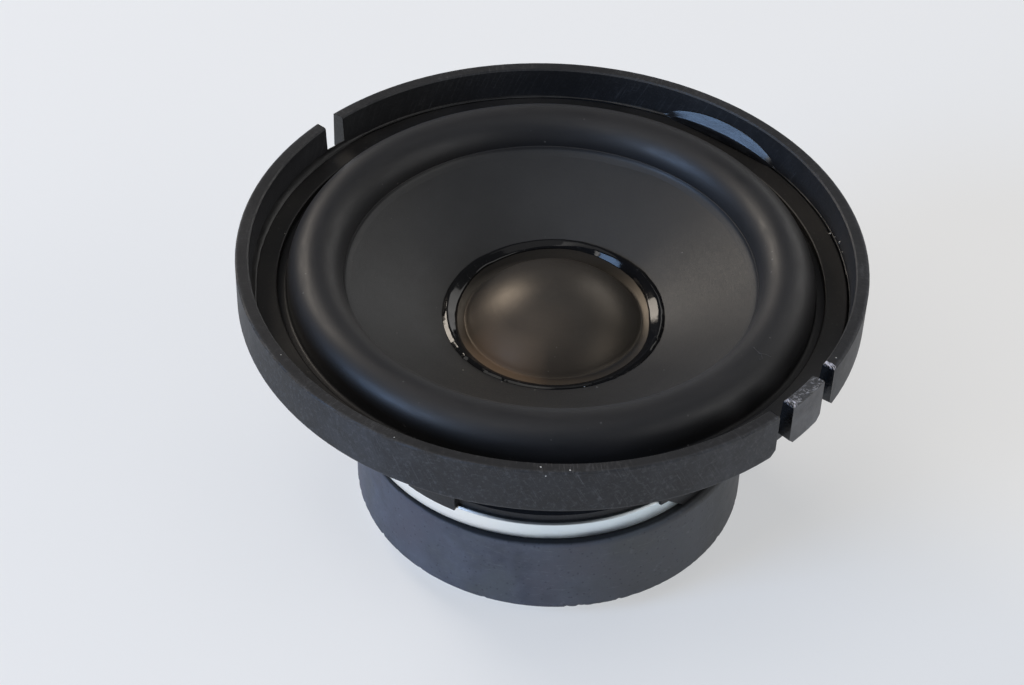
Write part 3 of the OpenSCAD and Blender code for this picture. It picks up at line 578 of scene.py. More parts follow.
def braid():
    """Tinsel braid round a textile core."""
    k = Net("lead_braid")
    u, w, _ = k.split(k.add("TexCoord").outputs["UV"])
    u, w = k.mul(u, 6), k.mul(w, 22)
    one, two = (k.math("SINE", k.mul(s, pi)) for s in (k.plus(u, w), k.less(u, w)))
    h = woven(k, one, two, 0.2)
    cloud = k.noise(k.coords(), 500, 3, 0.6)
    # painted shade where the strands dip under each other
    col = k.mix(k.ramp(h, 0.1, 0.9), (0.2, 0.09, 0.04), (0.68, 0.42, 0.25))
    col = k.mix(k.ramp(cloud, 0.45, 0.7, 0, 0.4), col, (0.5, 0.26, 0.14))
    return k.shader(col, 0.36, k.bump((h, 0.8, 0.12)), metallic=0.85)


def fibre_board():
    """Brown laminated board with pale flecks."""
    k = Net("board_fibre")
    v = k.coords()
    layers = k.streaks(v, (300, 9000, 500))
    speck = k.noise(v, 1500, 4, 0.7)
    cloud = k.noise(v, 150, 3, 0.6)
    col = k.mix(k.ramp(cloud), (0.115, 0.048, 0.02), (0.19, 0.085, 0.036))
    col = k.mix(k.ramp(speck, 0.58, 0.75, 0, 0.5), col, (0.3, 0.16, 0.075))
    return k.shader(col, k.vary(speck, 0.42, 0.6), k.bump((layers, 0.15, 0.05), (speck, 0.2, 0.04)),
                    gloss=0.45)


def former_sheet():
    """Brown sheet rolled into the voice coil's former."""
    k, v, r, a, z = begin("former_sheet")
    wrap = k.streaks(k.join(k.mul(a, 0.013), z, r), (90, 4000, 0))
    cloud = k.noise(v, 220, 4, 0.6)
    col = k.mix(k.ramp(cloud), (0.34, 0.2, 0.08), (0.46, 0.3, 0.13))
    return k.shader(col, k.vary(wrap, 0.28, 0.42), k.bump((wrap, 0.1, 0.04)),
                    gloss=0.5)


def plain_dust(name, dark, light):
    k = Net(name)
    n = k.noise(k.coords(), 3000, 3, 0.7)
    col = k.mix(k.ramp(n, 0.35, 0.7), dark, light)
    return k.shader(col, 0.9, k.bump((n, 0.4, 0.05)), gloss=0.2)


M_BASKET = basket_plastic("basket_plastic", (0.0092, 0.0094, 0.0105), (0.11, 0.11, 0.115))
# the softened edges: a paler finish, partly wear and partly a painted highlight along them
M_EDGE = basket_plastic("basket_plastic_worn_highlit", (0.030, 0.030, 0.032), (0.22, 0.22, 0.225), 0.5, edge=True)
M_RING = ring_plastic()
M_RUBBER = rubber()
M_CONE = pulp("cone_paper", (0.0125, 0.0125, 0.0130), (0.0195, 0.0192, 0.0190), 0.52, 0.015, shine=0.42)
M_CAP = pulp("cap_paper", (0.0225, 0.0203, 0.0180), (0.031, 0.0282, 0.0250), 0.42, 0, 0.3,
             shine=0.5, tint=(1, 0.83, 0.64), glow_and_shade=True)
M_GLUE = glue()
M_SEAM = seam_glue()
M_ZINC = plated("zinc_plate", (0.78, 0.86, 0.91), 0.36, spun=True, reflection_at=222)
M_YOKE = plated("yoke_steel", (0.5, 0.55, 0.59), 0.34, spun=True)
M_SCREW = plated("screw_steel", (0.56, 0.57, 0.58), 0.28)
M_TIN = plated("tinned_metal", (0.62, 0.6, 0.56), 0.3)
M_SOLDER = plated("solder", (0.66, 0.66, 0.65), 0.22)
M_BRASS = plated("rivet_brass", (0.72, 0.55, 0.27), 0.26)
M_FERRITE = ferrite()
M_SPIDER = spider_cloth()
M_COPPER = wound_copper()
M_BRAID = braid()
M_BOARD = fibre_board()
M_FORMER = former_sheet()
M_DUST = plain_dust("dust", (0.34, 0.32, 0.29), (0.62, 0.6, 0.56))
M_HAIR = plain_dust("lint_fibre", (0.07, 0.068, 0.066), (0.16, 0.155, 0.15))


# ---- mesh helpers
def add_object(name, verts, faces, material, slot, body=None, replaces=None, uv=None):
    mesh = bpy.data.meshes.new(name)
    mesh.from_pydata(verts, [], faces)
    mesh.validate()
    mesh.materials.append(material)
    mesh.shade_smooth()
    if uv is not None:
        layer = mesh.uv_layers.new(name="UVMap")
        flat = [uv[l.vertex_index] for l in mesh.loops]
        layer.data.foreach_set("uv", np.array(flat, float).ravel())
    o = place(name, mesh)
    if body:
        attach(o, body)
    if replaces:
        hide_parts(replaces)
    return o


def weld_mesh(mesh, dist, flat_angle=None):
    """Merges points closer than dist (m) and, with an angle, the faces that lie flat together."""
    bm = bmesh.new()
    bm.from_mesh(mesh)
    bmesh.ops.remove_doubles(bm, verts=bm.verts, dist=dist)
    if flat_angle is not None:
        bmesh.ops.dissolve_limit(bm, angle_limit=flat_angle, verts=bm.verts, edges=bm.edges)
    bm.to_mesh(mesh)
    bm.free()


def quads(p, q, n, closed=True):
    """Faces between two rows of n points that start at p and q."""
    return [(p + j, q + j, q + (j + 1) % n, p + (j + 1) % n) for j in range(n if closed else n - 1)]


def tube_faces(rows, sides, cols):
    """Skin and both ends of a tube of that many sides, with cols points in a row."""
    faces = [tuple(range(sides))[::-1], tuple((rows - 1) * cols + k for k in range(sides))]
    for p in range(0, (rows - 1) * cols, cols):
        for k in range(sides):
            q = (k + 1) % cols
            faces.append((p + k, p + q, p + cols + q, p + cols + k))
    return faces


def rounded(corners, n=4):
    """Closed profile with each corner (r, z, radius) rounded, and a support point by each arc."""
    out = []
    for i, (x, y, rad) in enumerate(corners):
        p = Vector((x, y))
        a = Vector(corners[i - 1][:2]) - p
        b = Vector(corners[(i + 1) % len(corners)][:2]) - p
        ua, ub = a.normalized(), b.normalized()
        half = ua.angle(ub) / 2
        cut = min(rad / tan(half), a.length * 0.45, b.length * 0.45)
        r = cut * tan(half)
        c = p + (ua + ub).normalized() * (r / sin(half))
        t0, t1 = p + ua * cut, p + ub * cut
        a0 = atan2(t0.y - c.y, t0.x - c.x)
        a1 = atan2(t1.y - c.y, t1.x - c.x)
        d = (a1 - a0 + pi) % tau - pi
        s0, s1 = t0 + ua * min(0.06, a.length * 0.05), t1 + ub * min(0.06, b.length * 0.05)
        out.append((s0.x, s0.y))
        for k in range(n + 1):
            t = a0 + d * k / n
            out.append((c.x + r * cos(t), c.y + r * sin(t)))
        out.append((s1.x, s1.y))
    return out


def lathe(profile, segs, a0=0, a1=tau, closed=True, push=None, centre=(0, 0)):
    """Vertices and faces of a profile in mm turned about Z from a0 to a1."""
    rings = segs if abs(a1 - a0 - tau) < 1e-9 else segs + 1
    m = len(profile)
    verts, faces = [], []
    for i in range(rings):
        a = a0 + (a1 - a0) * i / segs
        ca, sa = cos(a), sin(a)
        for r, z in profile:
            if push:
                r, z = push(a, r, z)
            verts.append(((r * ca + centre[0]) * MM, (r * sa + centre[1]) * MM, z * MM))
    for i in range(segs):
        faces += quads(i * m, (i + 1) % rings * m, m, closed)
    return verts, faces


def turned(name, profile, segs, material, slot, body, replaces=None, **kw):
    return add_object(name, *lathe(profile, segs, **kw), material, slot, body, replaces)


def around(a, size, seed):
    """Smooth noise round the axis, about -1 to 1."""
    return noise.noise(Vector((cos(a) * size, sin(a) * size, seed)))


def wave(a, z, seed, size, amount):
    """Slow unevenness round the axis, in mm."""
    return amount * around(a, size, z * 0.1 + seed)


def near(a, mid, width):
    """1 at angle mid, falling to 0 at width from it (degrees)."""
    d = abs((degrees(a) - mid + 180) % 360 - 180)
    return max(0, 1 - (d / width) ** 2)


# ---- basket
BEVEL = 0.16        # width of the softened edges
WELD = 2e-6         # points of a solid this close are one, in metres
FLAT = radians(0.4)
SHARP = radians(32)


def basket_copy():
    """The basket's solid with every edge softened, and its edges in a paler finish, partly wear and partly a
    painted highlight.
    """
    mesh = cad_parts["basket"].data.copy()
    mesh.name = "basket_moulding"
    o = place("basket_moulding", mesh)
    weld_mesh(mesh, WELD, FLAT)
    mesh.materials.clear()
    mesh.materials.append(M_BASKET)
    mesh.materials.append(M_EDGE)
    for p in mesh.polygons:
        p.material_index = 0
    bev = o.modifiers.new("bevel", "BEVEL")
    bev.width = BEVEL * MM
    bev.segments = 2
    bev.limit_method = "ANGLE"
    bev.angle_limit = SHARP
    bev.material = 1
    bev.use_clamp_overlap = True
    dep = bpy.context.evaluated_depsgraph_get()
    done = bpy.data.meshes.new_from_object(o.evaluated_get(dep))
    o.modifiers.clear()
    o.data = done
    true_normals(done)
    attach(o, CHASSIS)
    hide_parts("basket")


def true_normals(mesh):
    """Turned faces shade as true cones and cylinders about Z, flat ones stay flat, bevels run between."""
    mesh.shade_smooth()
    co = np.empty(len(mesh.vertices) * 3)
    mesh.vertices.foreach_get("co", co)
    co = co.reshape(-1, 3)
    out = np.zeros((len(mesh.loops), 3))
    at_vertex = {}
    bevels = []
    for p in mesh.polygons:
        n = np.array(p.normal)
        if p.material_index == 1:
            bevels.append(p)
            continue
        vs = co[list(p.vertices)]
        c = vs.mean(0)
        rc = hypot(c[0], c[1])
        ang = np.arctan2(vs[:, 1], vs[:, 0]) - atan2(c[1], c[0])
        ang = (ang + pi) % tau - pi
        u = np.array((c[0], c[1], 0)) / max(rc, 1e-9)
        # a turned face is narrow, lies off the axis and faces along its own radius
        narrow = np.ptp(ang) < radians(9)
        aligned = abs(-n[0] * u[1] + n[1] * u[0]) < 0.03 and hypot(n[0], n[1]) > 0.05
        turned_face = rc > 10 * MM and aligned and narrow
        radial = n[0] * u[0] + n[1] * u[1]
        for k, li in enumerate(p.loop_indices):
            m = n
            if turned_face:
                x, y = vs[k, 0], vs[k, 1]
                q = hypot(x, y)
                m = np.array((x / q * radial, y / q * radial, n[2]))
            out[li] = m
            at_vertex.setdefault(p.vertices[k], []).append((m, p.area))
    # a bevel takes the normal of the face that it meets. Its middle row has only bevel faces round
    # it, so they share their mean there.
    mids = {}
    for p in bevels:
        n = np.array(p.normal)
        for k, li in enumerate(p.loop_indices):
            known = at_vertex.get(p.vertices[k])
            if known:
                best = max(known, key=lambda e: float(e[0] @ n) + 0.001 * e[1])[0]
                out[li] = best if float(best @ n) > 0.5 else n
            else:
                mids.setdefault(p.vertices[k], []).append((li, n * sqrt(max(p.area, 1e-14))))
    for items in mids.values():
        total = sum(e[1] for e in items)
        for li, _ in items:
            out[li] = total
    size = np.linalg.norm(out, axis=1, keepdims=True)
    out = out / np.maximum(size, 1e-12)
    mesh.normals_split_custom_set([tuple(v) for v in out])


basket_copy()

# ---- clamp ring
ring_profile = rounded([
    (CLAMP_R0, CLAMP_Z0, 0.12), (CLAMP_R1, CLAMP_Z0, 0.12),
    (CLAMP_R1, CLAMP_Z1, 0.3), (CLAMP_R0, CLAMP_Z1, 0.3),
])
turned("clamp_ring_turned", ring_profile, 240, M_RING, "ring_plastic", CHASSIS, "clamp_ring",
       push=lambda a, r, z: (r, z + wave(a, 0, 3, 3, 0.04)))

# ---- surround, in wedges
ROLL_WEDGES = 72
ROLL_FLEX = (42.2, 33.7)     # radii between which the roll goes over from the chassis to the cone
SPIDER_WEDGES = 16
SPIDER_FLEX = (25.9, 14.2)


def arc_points(r, z, size, first, last, steps):
    """Points round (r, z) from the angle first to last, in degrees, both included."""
    turns = [radians(first + (last - first) * k / steps) for k in range(steps + 1)]
    return [(r + size * cos(t), z + size * sin(t)) for t in turns]


def surround_profile():
    top = FLANGE_Z + ROLL_T
    r1, r0 = ROLL_RC + ROLL_R, ROLL_RC - ROLL_R
    edge, fillet = CLAMP_R1 - 0.02, 0.5
    # upper side, from the flange's edge inwards
    pts = [(edge, FLANGE_Z), (edge, top), (CLAMP_R1 - 0.2, top), (CLAMP_R0 + 0.1, top), (r1 + 0.7, top)]
    pts += arc_points(r1 + fillet, top + fillet, fillet, 270, 180, 6)
    pts.append((r1, ROLL_Z - 0.3))
    pts += arc_points(ROLL_RC, ROLL_Z, ROLL_R, 0, 180, 48)
    pts.append((r0 - 0.01, ROLL_Z - 0.22))
    # the lap thins out and runs into the paper
    lap = ((0.03, 0.72), (0.09, 0.52), (0.17, 0.37), (0.28, 0.26), (0.42, 0.18), (0.6, 0.12),
           (0.85, 0.06), (1.15, 0), (1.5, -0.08), (1.7, -0.14))
    pts += [(r0 - d, front_z(r0 - d) + h) for d, h in lap]
    # under side, back outwards
    pts += [(r0 - 1.6, front_z(r0 - 1.6) - 0.22), (r0, front_z(r0) - 0.2),
            (CONE_R - 0.02, front_z(CONE_R) - 0.12), (CONE_R + 0.02, front_z(CONE_R) + 0.1)]
    inner = r1 - ROLL_T
    pts += arc_points(ROLL_RC, ROLL_Z, ROLL_R - ROLL_T, 180, 0, 24)
    pts += [(inner, FLANGE_Z + 0.1), (inner + 0.1, FLANGE_Z), (CLAMP_R0, FLANGE_Z)]
    return pts[::-1]


def surround_push(a, r, z):
    """A soft unevenness of the moulded roll, none at its two flanges."""
    s = max(0, 1 - ((r - ROLL_RC) / (ROLL_R + 0.2)) ** 2) * min(1, max(0, (z - 45.2) / 2))
    return r + s * wave(a, 0, 7, 2.2, 0.10), z + s * wave(a, 0, 11, 2.6, 0.10)


def flex(o, a0, a1, radii):
    """Bakes the piece's placement into its mesh; it does not bend it. a0, a1 and radii are not used."""
    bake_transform(o)


def wedges(base, profile, count, segs, material, slot, node, radii, push=None, inner=None):
    """A turned piece in wedges. Faces nearer to the axis than inner's radius take its material."""
    for w in range(count):
        a0, a1 = tau * w / count, tau * (w + 1) / count
        shape = lathe(profile, segs, a0, a1, push=push)
        o = add_object(f"{base}_{w:02d}", *shape, material, slot, None, node)
        if inner:
            radius, paper = inner
            o.data.materials.append(paper)
            for p in o.data.polygons:
                p.material_index = int(hypot(p.center.x, p.center.y) < radius * MM)
        flex(o, a0, a1, radii)


wedges("surround_roll", surround_profile(), ROLL_WEDGES, 5, M_RUBBER, "surround_rubber", "surround",
       ROLL_FLEX, surround_push, inner=(ROLL_RC - ROLL_R - 0.3, M_CONE))

# ---- cone
cone_radii = [NECK_R0 + 0.05 + (CONE_R - 0.08 - NECK_R0) * k / 40 for k in range(41)]
cone_profile = [(r, front_z(r)) for r in cone_radii]
cone_profile += [(CONE_R, front_z(CONE_R) - 0.03), (CONE_R, back_z(CONE_R) + 0.03)]
cone_radii = [CONE_R - 0.06] + [CONE_R - 0.06 - (CONE_R - 14.2) * k / 20 for k in range(1, 20)] + [14]
cone_profile += [(r, back_z(r)) for r in cone_radii]
cone_profile += [(13.62, back_z(13.62) - 0.05), (13.47, back_z(13.47) - 0.3), (13.45, 34.4),
                 (13.45, 33.75), (13.38, 33.67), (13.02, 33.67), (NECK_R0, 33.75),
                 (NECK_R0, front_z(NECK_R0) - 0.1)]
turned("cone_pulp", cone_profile[::-1], 192, M_CONE, "cone_paper", MOVING, "cone",
       push=lambda a, r, z: (r, z + (wave(a, r, 21, 4, 0.05) if r > 14.5 else 0)))

# ---- dust cap
# it was glued a little off the axis, so its brim lies tipped on the cone's slope
CAP_DX = 0.65
CAP_LEAN = CAP_DX * TAN / CAP_R


def settle(o):
    for v in o.data.vertices:
        x = v.co.x
        v.co.x = x + CAP_DX * MM
        v.co.z += CAP_LEAN * x


def dome(r, size):
    return r, BALL_Z + sqrt(size * size - r * r)


cap_profile = [dome((DOME_R - 0.45) * k / 30, BALL_R) for k in range(31)]
cap_profile += [(DOME_R - 0.2, DOME_Z + 0.20), (DOME_R - 0.02, DOME_Z + 0.09), (DOME_R + 0.16, DOME_Z + 0.10)]
cap_profile += [(r, brim_z(r) + BRIM_TV) for r in (DOME_R + 0.5, DOME_R + 1.2, DOME_R + 2, CAP_R - 0.15)]
cap_profile += [(CAP_R - 0.03, brim_z(CAP_R) + BRIM_TV - 0.04), (CAP_R, brim_z(CAP_R) + BRIM_TV - 0.12),
                (CAP_R, brim_z(CAP_R) + 0.06)]
cap_profile += [(r, brim_z(r)) for r in (CAP_R - 0.06, CAP_R - 1, DOME_R + 0.4, DOME_R - 0.1)]
cap_profile += [dome((DOME_R - 0.5) * (1 - k / 15), BALL_R - CAP_T) for k in range(16)]
cap = turned("dust_cap_pressed", cap_profile[::-1], 180, M_CAP, "cap_paper", MOVING, "dust_cap", closed=False,
             push=lambda a, r, z: (r, z + wave(a, r, 31, 1.2, 0.05) * min(1, r / 6)))
weld_mesh(cap.data, WELD)
settle(cap)

# ---- glue bead round the dust cap
BEAD_STEPS = 34
BEAD_SOFT = 9


def bead(a):
    """Inner and outer radius, height over the cone and the steepness of both flanks at a, in mm."""
    slow, quick = around(a, 2.6, 5), around(a, 9, 9)
    drip = max(0, around(a, 16, 3) - 0.2)
    back, front = max(0, sin(a)) ** 1.5, max(0, -sin(a)) ** 1.5
    left, right, upper = near(a, 193, 26), near(a, 9, 26), near(a, 50, 36)
    inner = 15.5 + 0.9 * back + 1.75 * front + 0.12 * slow + 0.04 * quick
    outer = 18 + 0.35 * back + 0.35 * front + 0.10 * slow + 0.05 * quick + 0.9 * drip * front
    high = 0.84 + 0.09 * left - 0.04 * right + 0.42 * upper - 0.26 * front + 0.07 * slow + 0.03 * quick
    return inner, outer, high, 1.7 - 0.9 * upper + 1.2 * right, 1.25 - 0.25 * left - 0.35 * right


def bead_push(a, r, z):
    """Profile points are (step, 0) across the top, from outside in, and (step, -1) under it."""
    inner, outer, high, k_in, k_out = bead(a)
    t = r / BEAD_STEPS
    t = t - 0.06 * sin(tau * t)
    rr = outer - t * (outer - inner)
    over = min(1, max(0, (CAP_R + 0.55 - rr) / 0.6))
    floor = 0.06 + over * over * (3 - 2 * over) * (BRIM_TV + 0.02)
    if z < 0:
        return rr, front_z(rr) + floor
    # three planes with softened meetings: inner flank, top and outer flank
    planes = (0.60 + k_in * (rr - inner), high, 0.07 + k_out * (outer - rr))
    soft = -log(sum(exp(-BEAD_SOFT * p) for p in planes)) / BEAD_SOFT
    return rr, front_z(rr) + max(soft, floor)


bead_profile = [(k, 0) for k in range(BEAD_STEPS + 1)] + [(k, -1) for k in range(BEAD_STEPS - 1, 0, -3)]
settle(turned("dust_cap_bead", bead_profile, 420, M_GLUE, "black_glue", MOVING, "dust_cap_glue",
              push=bead_push))

# ---- magnet
magnet_profile = rounded([
    (MAGNET_BORE_R, MAGNET_Z0, 0.4), (MAGNET_R, MAGNET_Z0, 0.55),
    (MAGNET_R, PLATE_Z0, 0.55), (MAGNET_BORE_R, PLATE_Z0, 0.4),
], 5)
# extra rings on the side and the faces, so that bruises have points to move
dense = []
for (r0, z0), (r1, z1) in zip(magnet_profile, magnet_profile[1:] + magnet_profile[:1]):
    dense.append((r0, z0))
    if abs(r0 - MAGNET_R) < 0.01 and abs(r1 - MAGNET_R) < 0.01 and abs(z1 - z0) > 5:
        dense += [(r0, z0 + (z1 - z0) * k / 20) for k in range(1, 20)]
    if abs(z0 - z1) < 0.001 and abs(r1 - r0) > 5:
        dense += [(r0 + (r1 - r0) * t, z0) for t in (0.04, 0.1, 0.9, 0.96)]


def magnet_push(a, r, z):
    """Small chips along the lower edge, most of them on the left, and a grainy side."""
    if r < 28:
        return r, z
    low = max(0, 1 - (z - MAGNET_Z0) / 1.6)
    high = max(0, 1 - (PLATE_Z0 - z) / 1)
    left = max(0, -cos(a - radians(40)))
    slow, quick = around(a, 7, 1), around(a, 34, z * 0.9 + 4)
    chip = max(0, 0.5 * slow + quick - 0.22) * (0.25 + 0.9 * left) * low
    chip += max(0, quick + 0.4 * slow - 0.4) * 0.3 * high
    rough = 0.03 * around(a, 40, z * 1.3)
    return r - min(0.45, chip * 0.8) + rough - 0.02, z + min(0.25, chip * 0.3) * (1 if z < 8 else -1)


turned("magnet_ferrite", dense, 420, M_FERRITE, "ferrite", CHASSIS, "magnet", push=magnet_push,
       centre=(MAGNET_SHIFT, 0))

# ---- glue squeezed out at the foot of the wall
SEAM_STEPS = 12


def wall_r(z):
    """Radius of the wall's inner face."""
    return WALL_FOOT_R + (WALL_TOP_R - WALL_FOOT_R) * (z - LEDGE_Z) / (WALL_TOP_Z - LEDGE_Z)


def seam_push(a, r, z):
    """Profile points are (step, 0) from the ring's face up to the wall, and one point under them."""
    if z < 0:
        return wall_r(CLAMP_Z1) + 0.05, CLAMP_Z1 - 0.25
    slow = around(a, 4, 23)
    patch, left, quiet = near(a, LUMP_AT, 13.5), near(a, 165, 32), near(a, 0, 52)
    quick = around(a, 22, 29) * (1 - 0.8 * min(1, patch * 2))
    high = max(0.10, 0.45 + 0.35 * slow + 0.16 * quick + 0.85 * left - 0.3 * quiet)
    wide = max(0.08, 0.34 + 0.18 * slow + 0.10 * quick + 0.6 * left - 0.25 * quiet)
    # a concave quarter, nearly straight where the glue is thick
    t = r / SEAM_STEPS
    bend = t * pi / 2
    flat = min(1, 0.15 + 0.5 * left)
    up = high * ((1 - cos(bend)) * (1 - flat) + t * flat)
    out = wide * ((1 - sin(bend)) * (1 - flat) + (1 - t) * flat)
    # one thick lump with a steep foot, its top running up the wall
    lump = patch ** 0.6
    foot, rise = min(1, 3 * t), max(0, 1.5 * t - 0.5)
    up += (1.45 * foot + 1.75 * rise - up) * lump
    out += (1.24 * (1 - rise) + 0.3 * (1 - foot) - out) * lump
    zz = CLAMP_Z1 + 0.02 + up
    return wall_r(zz) + 0.03 - out, zz


seam_profile = [(k, 0) for k in range(SEAM_STEPS + 1)] + [(0, -1)]
turned("wall_seam_glue", seam_profile, 480, M_SEAM, "black_glue", CHASSIS, push=seam_push)


# ---- lint and two hairs
def fleck(verts, faces, at, size, rng):
    """One irregular flake of lint."""
    base = len(verts)
    turned_by = rng.uniform(0, tau)
    axis = Vector((rng.uniform(-1, 1), rng.uniform(-1, 1), 1)).normalized()
    turn_m = Matrix.Rotation(turned_by, 3, axis)
    rows, cols, thin, narrow = 4, 7, 0.32, 0.6
    shape = [rng.uniform(0.55, 1.2) for _ in range(cols)]
    verts.append(at + turn_m @ Vector((0, 0, thin * size)))
    for i in range(1, rows):
        lat = pi * i / rows
        for j in range(cols):
            lon = tau * j / cols
            out = sin(lat) * shape[j]
            q = Vector((out * cos(lon), out * sin(lon) * narrow, cos(lat) * thin))
            verts.append(at + turn_m @ (q * size * rng.uniform(0.85, 1.15)))
    verts.append(at + turn_m @ Vector((0, 0, -thin * size)))
    last = len(verts) - 1
    for i in range(rows - 2):
        faces += quads(base + 1 + i * cols, base + 1 + (i + 1) * cols, cols)
    for j in range(cols):
        k = (j + 1) % cols
        faces += [(base, base + 1 + j, base + 1 + k), (last - cols + j, last, last - cols + k)]


def flecks(name, spots, body, seed):
    rng = random.Random(seed)
    verts, faces = [], []
    for r, deg, z, size in spots:
        fleck(verts, faces, polar_point(r, deg, z), size * MM, rng)
    add_object(name, [tuple(v) for v in verts], faces, M_DUST, "black_glue", body)


# radius, angle, height and size
flecks("lint_rim", [(43.9, 170.1, 46.12, 0.16), (47, 15.2, 46.5, 0.26), (47.3, 13.4, 46.9, 0.16),
                    (47.5, 11.2, 47.3, 0.27), (47.45, 8.6, 47, 0.15), (47.2, 20.5, 46.6, 0.15)], CHASSIS, 5)
# radius, angle, height over the cone and size
cone_lint = ((20.9, 230.2, 0.05, 0.12), (18.75, 247.3, 0.0941, 0.17), (19.2, 263.9, 0.05, 0.12),
             (18.5, 287.9, 0.1, 0.12), (19.7, 292.8, 0.05, 0.12), (26.5, 205, 0.04, 0.08),
             (24.2, 318, 0.04, 0.08))
flecks("lint_cone", [(r, deg, front_z(r) + h, size) for r, deg, h, size in cone_lint], MOVING, 9)


def hair(name, points, thick):
    """A thin bent fibre through the points."""
    verts, sides = [], 6
    fine = [p.lerp(q, k / 6) for p, q in zip(points, points[1:]) for k in range(6)] + [points[-1]]
    for _ in range(3):
        middle = [(fine[i - 1] + 2 * fine[i] + fine[i + 1]) / 4 for i in range(1, len(fine) - 1)]
        fine = [fine[0]] + middle + [fine[-1]]
    for i, p in enumerate(fine):
        d = (fine[min(i + 1, len(fine) - 1)] - fine[max(i - 1, 0)]).normalized()
        u = d.orthogonal().normalized()
        w = d.cross(u)
        for k in range(sides):
            t = tau * k / sides
            verts.append(tuple(p + (u * cos(t) + w * sin(t)) * thick))
    return add_object(name, verts, tube_faces(len(fine), sides, sides), M_HAIR, "black_glue")


def on_roll(r, deg):
    return polar_point(r, deg, ROLL_Z + sqrt(ROLL_R ** 2 - (r - ROLL_RC) ** 2) + 0.05)


# both lie on one wedge's width of the roll, counted in wedges from +X
HAIR_WEDGE = (64.5, 65.5)
for name, path_points in (
    ("lint_hair_long", ((37.2, 325.9), (38, 325.3), (38.9, 325.2), (39.5, 324.3), (39.2, 323.6))),
    ("lint_hair_short", ((38.5, 324.9), (39.3, 326), (40.1, 326.6))),
):
    flex(hair(name, [on_roll(*q) for q in path_points], 0.028 * MM),
         *(tau * w / ROLL_WEDGES for w in HAIR_WEDGE), ROLL_FLEX)

# ---- finishes on CAD nodes that keep their shape
for node, material in (
    ("front_plate", M_ZINC), ("yoke", M_YOKE), ("plate_screws", M_SCREW), ("board_screw", M_SCREW),
    ("terminal_board", M_BOARD), ("terminal_plus", M_TIN), ("terminal_minus", M_TIN),
    ("terminal_rivets", M_BRASS), ("coil_former", M_FORMER), ("coil_winding", M_COPPER),
    ("coil_tails", M_COPPER), ("lead_dabs", M_GLUE), ("neck_glue", M_GLUE), ("spider_glue", M_GLUE),
):
    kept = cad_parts[node].data.materials
    kept.clear()
    kept.append(material)

# ---- spider, in wedges
SEAT_R0, SPIDER_R, HUB_R0 = 25.9, 28.5, 13
WAVE_R0 = HUB_R0 + 0.9
WAVES, WAVE_STEPS, WAVE_H = 5, 100, 0.9
CLOTH, HUB_CLOTH = 0.19, 0.38     # half of the cloth's thickness, and of its glued hub's


def spider_profile():
    def side(s):
        """The upper face for s = 1 and the lower one for s = -1: the waves, the seat and the hub."""
        face = []
        for k in range(WAVE_STEPS + 1):
            r = WAVE_R0 + (SEAT_R0 - WAVE_R0) * k / WAVE_STEPS
            face.append((r, SPIDER_Z + WAVE_H * sin(tau * WAVES * k / WAVE_STEPS) + s * CLOTH))
        face += [(SEAT_R0 + 0.3, SPIDER_Z + s * CLOTH), (SPIDER_R - 0.1, SPIDER_Z + s * CLOTH),
                 (SPIDER_R, SPIDER_Z + s * 0.1)]
        return [(HUB_R0 + 0.3, SPIDER_Z + s * HUB_CLOTH), (WAVE_R0 - 0.25, SPIDER_Z + s * 0.34)] + face

    return side(-1) + side(1)[::-1]


wedges("spider_cloth", spider_profile(), SPIDER_WEDGES, 9, M_SPIDER, "spider_cloth", "spider", SPIDER_FLEX)

# ---- braided leads from the tabs to the cone
LEAD_D = 1
LEAD_TURNS, LEAD_STRANDS = 26, 8
TAB_X, TAB_Y = 7, 35.7
# share of the way from the tab to the dab, and height
LEAD_ROUTE = ((0, 33.42), (0, 34.77), (0.03, 35.97), (0.12, 36.72), (0.26, 36.62), (0.4, 36.12),
              (0.53, 35.68), (0.67, 35.42), (0.79, 35.63), (0.9, 36.46), (0.955, 37.24))


def at_terminal(x, y, z):
    """A point of the terminals' own frame, in mm, as a point of the part."""
    a = TERMINAL - pi / 2
    return Vector((x * cos(a) - y * sin(a), x * sin(a) + y * cos(a), z)) * MM


def smooth_route(points, steps):
    """Evenly stepped points on one smooth curve through the given ones."""
    ext = [points[0] * 2 - points[1]] + list(points) + [points[-1] * 2 - points[-2]]
    fine = []
    for a, b, c, d in zip(ext, ext[1:], ext[2:], ext[3:]):
        for k in range(24):
            t = k / 24
            square, cube = 2 * a - 5 * b + 4 * c - d, 3 * b - a - 3 * c + d
            fine.append(0.5 * (2 * b + (c - a) * t + square * t * t + cube * t ** 3))
    fine.append(ext[-2])
    run = [0]
    for p, q in zip(fine, fine[1:]):
        run.append(run[-1] + (q - p).length)
    out, k = [], 0
    for i in range(steps + 1):
        want = run[-1] * i / steps
        while k < len(run) - 2 and run[k + 1] < want:
            k += 1
        f = (want - run[k]) / max(run[k + 1] - run[k], 1e-12)
        out.append(fine[k].lerp(fine[k + 1], f))
    return out


